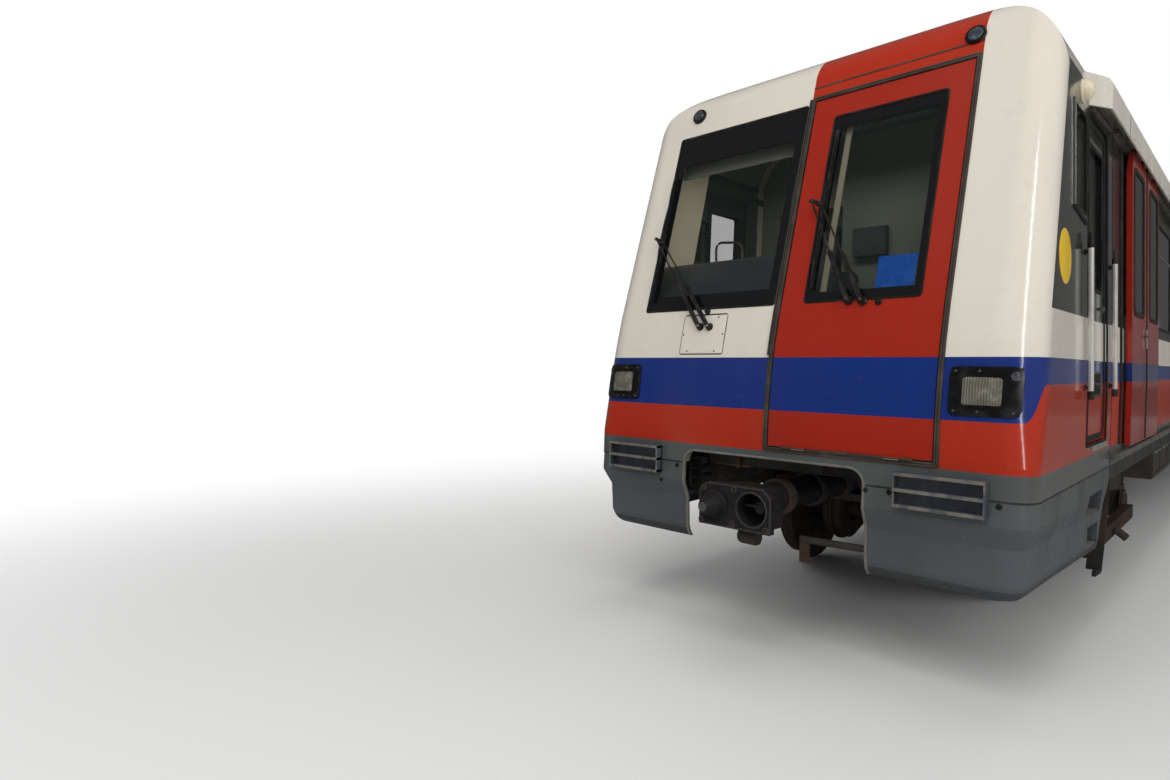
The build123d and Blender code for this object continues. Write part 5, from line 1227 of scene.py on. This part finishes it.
BELLOWS = [(0.212, 0.0), (0.214, 0.018), (0.196, 0.022), (0.208, 0.050), (0.214, 0.085), (0.208, 0.120),
           (0.190, 0.140), (0.207, 0.165), (0.213, 0.200), (0.206, 0.235), (0.194, 0.262), (0.214, 0.268),
           (0.214, 0.294), (0, 0.294)]
COIL_R, COIL_WIRE, COIL_FOOT, COIL_TOP, COIL_TURNS = 0.078, 0.013, 0.604, 0.688, 2


def coil(x, n):
    """A helical spring with its ends closed down."""
    steps = COIL_TURNS * 18
    outs = [Vector((math.cos(a), math.sin(a), 0)) for a in (2 * math.pi * k / 18 for k in range(steps + 1))]
    rise = COIL_TOP - COIL_FOOT - 2 * COIL_WIRE
    foot = at(x, n, COIL_FOOT + COIL_WIRE)
    line = [foot + out * COIL_R + upwards * rise * k / steps for k, out in enumerate(outs)]
    return sweep(line, outs, round_bar(COIL_WIRE, 8))


def bolt_ring(rim, centre, out, radius, count, start=0.0):
    """Bolts in a ring round an axle end."""
    angles = [math.radians(start + 360 / count * k) for k in range(count)]
    return [turned(rim, centre + Vector((0, math.cos(a), math.sin(a))) * radius, out, 6) for a in angles]


springs_rubber = under_gear("air_spring_rubber", "rubber", (38, 37, 36), 0.7, 0.35, 0.12, depth=0.0004)
for name, centre_n, first in BOGIES:
    body = f"bogie_{name}"
    covers, springs, dampers, bellows = [], [], [], []
    for sign in (-1, 1):
        out = Vector((sign, 0, 0))
        for way in (-1, 1):
            axle_n = centre_n + way * HALF_BASE
            axle = at(sign * BOX_FACE_X, axle_n, AXLE_Z)
            covers += [turned(BOX_COVER, axle, out, 32), *bolt_ring(BOX_BOLT, axle, out, 0.090, 6, 30)]
            springs.append(coil(sign * SPRING_X, axle_n))
            damper_x, damper_n = sign * DAMPER_X, axle_n + way * DAMPER_BEHIND
            dampers.append(turned(DAMPER, at(damper_x, damper_n, DAMPER_FOOT_Z), upwards, 16))
            dampers.append(turned(DAMPER_EYE, at(damper_x, damper_n, DAMPER_EYE_Z), out, 14))
            x, n = sign * BLOCK_X, axle_n - way * BLOCK_AHEAD
            block = [(x, n, z) for z in BLOCK_Z]
            covers.append(bar(*block, Vector((0, way, 0)), strap(0.055, 0.0, 0.020)))
        bellows.append(turned(BELLOWS, at(sign * SPRING_X, centre_n, AIR_SPRING_Z), upwards, 40))
    fix(f"axle_box_covers_{name}", covers, cast_black, body)
    fix(f"axle_springs_{name}", springs, chassis_black, body)
    fix(f"axle_dampers_{name}", dampers, wiper_black, body)
    fix(f"air_springs_{name}", bellows, springs_rubber, body)

# The current collector: a varnished wooden beam hung from the axle boxes, with a hinged iron shoe under its
# cover.
timber = Finish("collector_beam_timber", "black_steel", (66, 50, 36), 0.6)
grain_lines = timber.ramp(timber.cloud(0.09, 5.0, (1, 0.06, 1), 4.0), 0.35, 0.7)
timber.coat(timber.sum("MULTIPLY", grain_lines, 0.6), (52, 36, 24))
timber.weather((40, 34, 30), 0.5, 0.3)
timber.grain(0.006, 0.0004, 3.0, (1, 0.1, 1))
beam_timber = timber.done()
BEAM_X, BEAM_Z, BEAM_HALF = 1.165, 0.395, 0.960
SHOE = [(1.200, 0.390), (1.275, 0.330)]
HANGER_X, HANGER_FOOT, HANGER_TOP, HANGER_TOP_Z = 1.125, 0.90, 0.94, 0.560
rearwards = Vector((0, 1, 0))
for name, centre_n, first in BOGIES:
    beams, shoes = [], []
    for sign in (-1, 1):
        out = Vector((sign, 0, 0))
        ends = [(sign * BEAM_X, centre_n + half, BEAM_Z) for half in (-BEAM_HALF, BEAM_HALF)]
        beams.append(bar(*ends, out, strap(0.055, -0.030, 0.030)))
        shoe = [(sign * x, centre_n, z) for x, z in SHOE]
        shoes.append(bar(*shoe, rearwards, strap(0.012, -0.08, 0.08)))
        for way in (-1, 1):
            foot = (sign * HANGER_X, centre_n + way * HANGER_FOOT, BEAM_Z)
            top = (sign * HANGER_X, centre_n + way * HANGER_TOP, HANGER_TOP_Z)
            shoes.append(bar(foot, top, out, strap(0.05, -0.018, 0.010)))
    fix(f"collector_beams_{name}", beams, beam_timber, f"bogie_{name}")
    fix(f"collector_shoes_{name}", shoes, cast_black, f"bogie_{name}")

# A machined cast-iron brake disc is bolted to each wheel's web.
# It turns with the wheel.
DISC_X, DISC_IN = 0.795, 0.032
BRAKE_DISC = [(0.150, -0.002), (0.320, -0.002), (0.320, 0.010), (0.300, 0.013), (0.165, 0.013),
              (0.150, 0.008)]
DISC_BOLT = [(0.014, -0.02), (0.014, -0.006), (0, -0.005)]
for name, centre_n, first in BOGIES:
    for number, way in ((first, -1), (first + 1, 1)):
        discs = []
        for sign in (-1, 1):
            hub, out = at(sign * DISC_X, centre_n + way * HALF_BASE, AXLE_Z), Vector((sign, 0, 0))
            discs.append(turned(BRAKE_DISC, hub - out * DISC_IN, out, 40))
            discs += bolt_ring(DISC_BOLT, hub, out, 0.190, 8)
        fix(f"brake_discs_{number}", discs, bare, f"wheelset_{number}")

# A cast gear case hangs on each axle and reaches to its motor. It is in two halves with a bolted flange
# between.
CASE_PINION, CASE_R, PINION_R, CASE_BORE = (0.430, 0.040), 0.240, 0.130, 0.100
CASE_X, FLANGE_HALF, FLANGE_OUT, CHAMFER = (0.370, 0.540), 0.010, 0.018, (0.02, -0.03)
CASE_ANGLES = [math.radians(6 * k) for k in range(60)]


def case_reach(angle, grow):
    """How far the case's outline is from the axle's middle, in one direction."""
    low, high = 0.0, 1.0
    pinion_y, pinion_z = CASE_PINION
    for step in range(24):
        middle = (low + high) / 2
        y, z = middle * math.cos(angle), middle * math.sin(angle)
        gap = min(math.hypot(y - s * pinion_y, z - s * pinion_z) - CASE_R - s * (PINION_R - CASE_R)
                  for s in (k / 16 for k in range(17)))
        low, high = (middle, high) if gap < grow else (low, middle)
    return low


def gear_case(x0, x1, n, way):
    mid, (inset, grow) = (x0 + x1) / 2, CHAMFER
    stations = [(x0, grow), (x0 + inset, 0.0), (mid - FLANGE_HALF, 0.0), (mid - FLANGE_HALF, FLANGE_OUT)]
    stations += [(mid + FLANGE_HALF, FLANGE_OUT), (mid + FLANGE_HALF, 0.0), (x1 - inset, 0.0), (x1, grow)]
    outlines = [(x, [case_reach(a, grow) for a in CASE_ANGLES]) for x, grow in stations]
    outlines += [(x, [CASE_BORE] * 60) for x in (x1, x0)]
    rings = [[at(x, n + way * reach * math.cos(a), AXLE_Z + reach * math.sin(a))
              for a, reach in zip(CASE_ANGLES, reaches)] for x, reaches in outlines]
    return skin(rings, wrap=True)


for name, centre_n, first in BOGIES:
    cases = [gear_case(-CASE_X[1], -CASE_X[0], centre_n - HALF_BASE, 1),
             gear_case(*CASE_X, centre_n + HALF_BASE, -1)]
    fix(f"gear_cases_{name}", cases, cast_black, f"bogie_{name}")

# The roof is a welded skin with shallow ribs across it, a rain channel along each edge, and low louvred
# cowls over the air inlets.
ROOF_TOP_Z, ROOF_MID_Z, ROOF_EDGE_Z, ROOF_R = 3.545, 3.500, 3.080, 0.420


def roof_z(x):
    """Height of the roof's skin at a distance from the middle."""
    edge_x = half_width(ROOF_EDGE_Z) - ROOF_R
    if abs(x) <= edge_x:
        return ROOF_MID_Z + (ROOF_TOP_Z - ROOF_MID_Z) * math.cos(math.pi / 2 * abs(x) / edge_x)
    return ROOF_EDGE_Z + math.sqrt(max(0.0, ROOF_R**2 - (abs(x) - edge_x) ** 2))


roof_grey = worn("roof_trim_grey", "aluminium", (150, 150, 144), 0.5, ((84, 80, 72), 0.5, 0.3))
CROSS_RIB_N, CROSS_RIB_PITCH, CROSS_RIB_HALF = 2.30, 0.90, 0.84
ribs = []
for n in (CROSS_RIB_N + CROSS_RIB_PITCH * k for k in range(19)):
    line = [at(x, n, roof_z(x)) for x in (-CROSS_RIB_HALF + 0.12 * k for k in range(15))]
    ribs.append(sweep(line, upwards, flat_bead(0.030, 0.006)))
fix("roof_cross_ribs", ribs, roof_grey)
CHANNEL_X = 0.985
CHANNEL = [(-0.018, -0.004), (-0.018, 0.014), (-0.013, 0.014), (-0.011, 0.002), (0.011, 0.002),
           (0.013, 0.014), (0.018, 0.014), (0.018, -0.004)]
channels = []
for sign in (-1, 1):
    path = [at(sign * CHANNEL_X, n, roof_z(CHANNEL_X) - 0.002) for n in (1.95, 8.0, 14.0, 19.30)]
    channels.append(sweep(path, Vector((sign * 0.35, 0, 1)).normalized(), CHANNEL))
fix("roof_rain_channels", channels, roof_grey)
COWL = [(-0.30, 0.0), (-0.30, 0.030), (-0.24, 0.052), (0.24, 0.052), (0.30, 0.030), (0.30, 0.0)]
LOUVRE = [(-0.022, 0), (-0.004, 0.007), (0.010, 0)]
COWL_NS, COWL_X, COWL_HALF = (4.0, 7.6, 11.2, 14.8), 0.42, 0.38
LOUVRE_FIRST, LOUVRE_PITCH, LOUVRE_HALF, LOUVRE_UP = 0.30, 0.075, 0.20, 0.052
cowls, louvres = [], []
for n in COWL_NS:
    for x in (-COWL_X, COWL_X):
        base = roof_z(x) - 0.012
        cowls.append(bar((x, n - COWL_HALF, base), (x, n + COWL_HALF, base), upwards, COWL))
        for louvre_n in (n - LOUVRE_FIRST + LOUVRE_PITCH * k for k in range(9)):
            ends = [(x + half, louvre_n, base + LOUVRE_UP) for half in (-LOUVRE_HALF, LOUVRE_HALF)]
            louvres.append(bar(*ends, upwards, LOUVRE))
fix("roof_vent_cowls", cowls, roof_grey)
fix("roof_vent_louvres", louvres, roof_grey)

# The rear end: the bellows' clamping frame is bolted on, a tread plate bridges the gap, and the drawbar's
# flange has a ring of bolts.
GANGWAY_HALF, GANGWAY_TOP, FLOOR_Z, BODY_L, CLAMP_OUT = 0.420, 3.120, 1.180, 19.350, 0.165
FLANGE_N, FLANGE_BOLTS_R = BODY_L + 0.330, 0.092
FLANGE_BOLT = [(0.013, -0.002), (0.013, 0.009), (0, 0.010)]
TREAD_N, TREAD_HALF, RIDGE_N, RIDGE_PITCH, RIDGE_HALF = (19.24, 19.61), 0.41, 19.38, 0.03, 0.40
half = GANGWAY_HALF + CLAMP_OUT
line = rounded(-half, half, FLOOR_Z - 0.10, GANGWAY_TOP + CLAMP_OUT, 0.03, 3)
path = [at(x, BODY_L, max(z, FLOOR_Z + 0.004)) for x, z in line]
fix("gangway_clamping_frame", sweep(path, rearwards, flat_bead(0.030, 0.010), True), aluminium)
plate = [bar(*((0, n, FLOOR_Z) for n in TREAD_N), upwards, strap(TREAD_HALF, -0.006, 0.001))]
for n in (RIDGE_N + RIDGE_PITCH * k for k in range(8)):
    ends = [(x, n, FLOOR_Z + 0.001) for x in (-RIDGE_HALF, RIDGE_HALF)]
    plate.append(bar(*ends, upwards, flat_bead(0.006, 0.003)))
fix("gangway_tread_plate", plate, threshold_metal)
bolts = []
for a in (math.radians(45 * k + 22.5) for k in range(8)):
    spot = at(FLANGE_BOLTS_R * math.cos(a), FLANGE_N, COUPLER_Z + FLANGE_BOLTS_R * math.sin(a))
    bolts.append(turned(FLANGE_BOLT, spot, rearwards, 6))
fix("drawbar_flange_bolts", bolts, bare)

# Underfloor cases are folded steel boxes, hung from the sole bars.
# They have bolted lids with a rim, and drop latches on the outer face.
CASE_ROOM, CASE_FACE_X = (5.000, 13.950), 1.220
LID_LENGTH, LID_FOOT, LID_TOP, LATCH_DROPS = 0.65, 0.03, 0.12, (0.19, 0.11)
CASES = [
    # side, parts of the room between the bogies, depth
    (-1, 0.00, 0.15, 0.480), (1, 0.00, 0.21, 0.430), (-1, 0.22, 0.44, 0.520), (1, 0.27, 0.47, 0.500),
    (-1, 0.50, 0.69, 0.450), (1, 0.52, 0.74, 0.520), (-1, 0.75, 1.00, 0.480), (1, 0.80, 1.00, 0.400),
]
lids, latches = [], []
for sign, part0, part1, depth in CASES:
    x, out = sign * CASE_FACE_X, Vector((sign, 0, 0))
    n0, n1 = (CASE_ROOM[0] + part * (CASE_ROOM[1] - CASE_ROOM[0]) for part in (part0, part1))
    count = max(1, round((n1 - n0) / LID_LENGTH))
    step = (n1 - n0) / count
    for k in range(count):
        lid_n = grown((n0 + k * step, n0 + (k + 1) * step), -0.025)
        line = rounded(*lid_n, SOLE_Z - depth + LID_FOOT, SOLE_Z - LID_TOP, 0.02, 3)
        lids.append(sweep([at(x, n, z) for n, z in line], out, flat_bead(0.030, 0.012), True))
        for n in (n0 + (k + share) * step for share in (0.28, 0.72)):
            ends = [(x, n, SOLE_Z - drop) for drop in LATCH_DROPS]
            latches.append(bar(*ends, out, flat_bead(0.026, 0.020)))
fix("case_lid_rims", lids, case_paint)
fix("case_latches", latches, aluminium)

# Under the cab floor, ahead of the wheels, hang a ribbed steel sand box on each side and, further in,
# a welded air reservoir held by two straps.
BOX_X, TANK_X, TANK_N, TANK_Z = 0.98, 0.72, 0.74, 0.925
SAND_BOX = [(-0.17, 0.0), (-0.19, 0.02), (-0.19, 0.40), (0.19, 0.40), (0.19, 0.02), (0.17, 0.0)]
SAND_N, SAND_Z, SAND_RIB_NS, SAND_RIB_Z = (1.16, 1.54), 0.685, (1.22, 1.44), 0.680
SAND_RIB = [(u * 1.05, v) for u, v in SAND_BOX]
TANK = [(0.0, -0.34), (0.07, -0.33), (0.125, -0.29), (0.130, -0.25), (0.130, 0.25), (0.125, 0.29),
        (0.07, 0.33), (0, 0.34)]
TANK_STRAP, STRAP_FROM_MID = [(0.131, -0.02), (0.136, -0.02), (0.136, 0.02), (0.131, 0.02)], 0.17
for side, sign in SIDES:
    x = sign * BOX_X
    box = [bar(*((x, n, SAND_Z) for n in SAND_N), upwards, SAND_BOX)]
    for n in SAND_RIB_NS:
        box.append(bar((x, n, SAND_RIB_Z), (x, n + 0.03, SAND_RIB_Z), upwards, SAND_RIB))
    fix(f"sand_box_{side}", box, chassis_black)
    rims = [(TANK, 0), (TANK_STRAP, -STRAP_FROM_MID), (TANK_STRAP, STRAP_FROM_MID)]
    tank = [turned(rim, at(sign * TANK_X, TANK_N + shift, TANK_Z), rearwards, 28) for rim, shift in rims]
    fix(f"air_reservoir_{side}", tank, chassis_black)

# A heavy tie bar runs behind the right-hand skirt, with a hanging bracket at its inner end. On the left
# stands the brake valve block with its three valves.
BAR_X, BAR_N, BAR_Z = 0.640, 0.105, 0.632
tie = pipe([(0.190, BAR_N, BAR_Z), (0.560, BAR_N, BAR_Z + 0.012), (BAR_X, BAR_N, BAR_Z + 0.016),
            (BAR_X, 0.36, 0.80), (BAR_X, 0.36, 1.09)], 0.020)
VALVE_BLOCK = [(-0.085, -0.06), (-0.085, 0.05), (-0.06, 0.075), (0.06, 0.075), (0.085, 0.05),
               (0.085, -0.06)]
VALVE_BLOCK_ENDS, VALVE_ZS = ((-0.69, 0.36, 0.77), (-0.69, 0.36, 1.00)), (0.81, 0.87, 0.93)
VALVE = [(0.026, 0.0), (0.026, 0.05), (0.018, 0.062), (0, 0.062)]
valves = [bar(*VALVE_BLOCK_ENDS, forwards, VALVE_BLOCK)]
for z in VALVE_ZS:
    valves.append(turned(VALVE, at(-0.63, 0.31, z), x_axis, 16))
    valves.append(pipe([(-0.66, 0.27, z), (-0.66, 0.20, z), (-0.66, 0.20, z + 0.12)], 0.009))
fix("front_valve_block", valves, chassis_black)
fix("front_tie_bar", tie, cast_black)
rusty = under_gear("rusty_steel", "cast_steel", (66, 47, 32), 0.7, 0.3, 0.08)
hanger = bar((0.200, BAR_N, 0.650), (0.200, BAR_N, 0.505), forwards, strap(0.026, -0.012, 0.012))
fix("front_tie_bar_bracket", hanger, rusty)


# Inside the cab: cream laminate linings on the side pillars, a valance over the windscreen, an instrument
# cowl on the desk with a bright hoop rail, and a dark cabinet on the back wall.
def panel(points, thick, way):
    """A flat sheet: (x, n, z) corner points, thickened along way."""
    low = [at(*point) for point in points]
    return skin([low, [point + way * thick for point in low]], (0, -1))


def square(x, z):
    return [(x[0], z[0]), (x[1], z[0]), (x[1], z[1]), (x[0], z[1])]


pillar_lining = worn("pillar_lining", "interior", (224, 214, 184), 0.5, ((150, 136, 104), 0.2, 0.4),
                     grain=LAMINATE_GRAIN)
valance_grey = worn("valance_grey", "interior", (132, 134, 122), 0.5, ((84, 82, 72), 0.25, 0.5))
dial_face = worn("instrument_face", "lamp", (20, 24, 26), 0.15, ((60, 66, 66), 0.2, 0.05))
PILLAR = [(0.250, 2.020), (0.585, 3.120), (1.115, 3.120), (0.860, 2.020)]
for side, sign in SIDES:
    corners = [(sign * (half_width(z) - 0.075), n, z) for n, z in PILLAR]
    lining = panel(corners, 0.012, Vector((-sign, 0, 0)))
    fix(f"cab_pillar_lining_{side}", lining, pillar_lining, smooth=False)
corners = [(x, nose_n(z) + 0.085, z) for x, z in square((-0.98, -0.06), (2.905, 3.150))]
fix("windscreen_valance", panel(corners, 0.012, rearwards), valance_grey, smooth=False)
INSTRUMENT_COWL = [(0.235, 1.915), (0.285, 2.100), (0.420, 2.265), (0.560, 2.320), (0.700, 2.335),
                   (0.735, 2.310), (0.715, 1.905)]
fix("instrument_cowl", panel([(-1.165, n, z) for n, z in INSTRUMENT_COWL], 1.04, x_axis), desk_paint)
DIAL = [(0.058, 0.0), (0.058, 0.008), (0.050, 0.010), (0.048, 0.006), (0, 0.006)]
dials = [turned(DIAL, at(x, 0.722, 2.190), rearwards, 28) for x in (-0.98, -0.80, -0.62, -0.44)]
fix("desk_instruments", dials, dial_face)
LEVER_KNOB = [(0, -0.022), (0.018, -0.016), (0.022, 0.0), (0.018, 0.016), (0, 0.022)]
levers = []
for x, n in ((-0.90, 0.63), (-0.50, 0.58)):
    levers.append(pipe([(x, 0.60, 1.895), (x, n, 2.000), (x + 0.03, n + 0.02, 2.040)], 0.010, bend=0.02))
    levers.append(turned(LEVER_KNOB, at(x + 0.03, n + 0.02, 2.050), upwards, 18))
fix("desk_levers", levers, dial_face)
HOOP = [(-0.825, 0.700, 2.300), (-0.830, 0.700, 2.480), (-0.610, 0.700, 2.455), (-0.607, 0.700, 2.300)]
fix("desk_hoop_rail", pipe(HOOP, 0.009, bend=0.06), bright_metal)
cabinet = panel([(x, 1.960, z) for x, z in square((-0.365, -0.110), (2.470, 2.690))], 0.070, forwards)
clips = [panel([(x, 1.889, z) for x, z in square((u, u + 0.016), (2.475, 2.520))], 0.006, forwards)
         for u in (-0.19, -0.30)]
fix("back_wall_cabinet", cabinet, desk_paint, smooth=False)
fix("back_wall_cabinet_clips", clips, bright_metal, smooth=False)

# On the front door's inside a frame strip is screwed beside the glass.
# A bright tubular push bar goes across it.
DOOR_INNER, PUSH_Z, PUSH_X, PUSH_OUT = 0.0505, 1.86, (0.250, 0.680), 0.045
strip = [(x, nose_n(z) + DOOR_INNER, z) for x, z in square((0.212, 0.245), (1.93, 3.09))]
fix("front_door_inner_strip", panel(strip, 0.010, rearwards), pillar_lining, "ramp_door", smooth=False)
push_n = nose_n(PUSH_Z) + DOOR_INNER
push = [(PUSH_X[0], push_n - 0.004, PUSH_Z), (PUSH_X[0], push_n + PUSH_OUT, PUSH_Z),
        (PUSH_X[1], push_n + PUSH_OUT, PUSH_Z), (PUSH_X[1], push_n - 0.004, PUSH_Z)]
fix("front_door_push_bar", pipe(push, 0.011), bright_metal, "ramp_door")


# Seats are moulded foam covered in moquette. Each place is a crowned pad with a sewn edge,
# and the benches stand on painted plinths.
def pad(centre, along, across, out, half_along, half_across, thick, crown, radius=0.05):
    """An upholstered pad: rounded outline, rolled edge, crowned face."""
    outline = rounded_line((-half_along, half_along), (-half_across, half_across), radius, 4, 0.08)
    profile = [(1.0, 0.0), (1.0, thick * 0.55), (0.985, thick * 0.82), (0.94, thick * 0.97)]
    profile += [(s, thick + crown * (0.35 + 0.65 * (1 - (s / 0.86) ** 2)))
                for s in (0.86, 0.7, 0.5, 0.3, 0.12)]
    rings = [[centre + along * u * s + across * v * s + out * h for u, v in outline] for s, h in profile]
    return skin([*rings, [centre + out * (thick + crown)]], (0,))


def welt(centre, along, across, out, half_along, half_across, height, radius=0.05):
    """The sewn edge: a thin cord of piping round the pad."""
    outline = rounded_line((-half_along, half_along), (-half_across, half_across), radius, 5, 0.2)
    path = [centre + along * u + across * v + out * height for u, v in outline]
    return sweep(path, out, round_bar(0.0035, 6), True)


SEAT_X, SEAT_N, BACK_LEAN = -0.480, 1.605, 0.10
PEDESTAL = [(0.190, 0.0), (0.190, 0.014), (0.120, 0.022), (0.060, 0.030), (0.060, 0.300), (0.072, 0.305),
            (0.072, 0.400), (0.150, 0.420), (0.150, 0.438), (0, 0.438)]
cushion = at(SEAT_X, SEAT_N - 0.01, 1.620), x_axis, rearwards, upwards
back_up, back_out = (Vector(way).normalized() for way in ((0, BACK_LEAN, 1), (0, -1, BACK_LEAN)))
back = at(SEAT_X, 1.795, 2.040), x_axis, back_up, back_out
pads = [pad(*cushion, 0.205, 0.200, 0.085, 0.022), pad(*back, 0.200, 0.300, 0.060, 0.020)]
pads += [welt(*cushion, 0.206, 0.201, 0.048), welt(*back, 0.201, 0.301, 0.034)]
driver = fix("driver_seat_pads", pads, seat_grey)
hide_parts("driver_seat")
fix("driver_seat_pedestal", turned(PEDESTAL, at(SEAT_X, SEAT_N, FLOOR_Z), upwards, 32), chassis_black)
path = [at(SEAT_X, 1.700, 1.625), at(SEAT_X, 1.812, 1.640), at(SEAT_X, 1.822, 1.900)]
fix("driver_seat_back_bracket", sweep(path, x_axis, strap(0.012, -0.10, 0.10)), chassis_black)

BENCHES, PLACES = [(3.670, 6.980), (8.220, 11.530), (12.770, 16.080)], 7
BENCH_SHELL = [(-0.148, 0.0), (-0.150, 0.402), (0.190, 0.402), (0.220, 0.700), (0.232, 0.700), (0.232, 0.0)]
pads, welts, shells = [], [], []
for n0, n1 in BENCHES:
    each = (n1 - n0) / PLACES
    half = each / 2 - 0.006
    for sign in (-1, 1):
        lean_in, lean_up = (Vector(way).normalized() for way in ((-sign, 0, 0.08), (sign * 0.08, 0, 1)))
        for n in (n0 + (k + 0.5) * each for k in range(PLACES)):
            seat = at(sign * 1.010, n, 1.588), rearwards, x_axis, upwards
            pads.append(pad(*seat, half, 0.150, 0.050, 0.016, 0.04))
            rest = at(sign * 1.212, n, 1.790), rearwards, lean_up, lean_in
            pads.append(pad(*rest, half, 0.125, 0.042, 0.012, 0.04))
            welts.append(welt(*seat, half, 0.150, 0.028, 0.04))
        section = [(-sign * u, v) for u, v in BENCH_SHELL]
        shells.append(bar((sign * 1.000, n0, FLOOR_Z), (sign * 1.000, n1, FLOOR_Z), upwards, section))
saloon_pads = fix("saloon_seat_pads", pads, seat_cloth)
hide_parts("saloon_seats")
fix("saloon_seat_welts", welts, desk_paint)
fix("saloon_seat_shells", shells, desk_paint)

# Grab poles have turned sockets at the floor and the ceiling. Light strips run along the ceiling, dark when
# parked.
POLE_X, POLE_NS, CEILING_Z = 0.880, [3.630, 7.020, 8.180, 11.570, 12.730, 16.120], 3.200
SOCKET = [(0.034, 0.0), (0.034, 0.006), (0.024, 0.016), (0.0185, 0.040)]
sockets = [turned(SOCKET, at(sign * POLE_X, n, z), way, 18) for n in POLE_NS for sign in (-1, 1)
           for z, way in ((FLOOR_Z, upwards), (CEILING_Z - 0.001, -upwards))]
fix("grab_pole_sockets", sockets, bright_metal)
DIFFUSER = [(-0.07, 0), (-0.06, 0.022), (0.06, 0.022), (0.07, 0)]
DIFFUSER_X, DIFFUSER_N = 0.55, (2.40, 19.0)
diffusers = [bar(*((x, n, CEILING_Z) for n in DIFFUSER_N), -upwards, DIFFUSER)
             for x in (-DIFFUSER_X, DIFFUSER_X)]
tube_light = worn("light_diffuser", "interior", (236, 234, 220), 0.4, ((200, 196, 170), 0.2, 0.2))
fix("ceiling_light_diffusers", diffusers, tube_light)
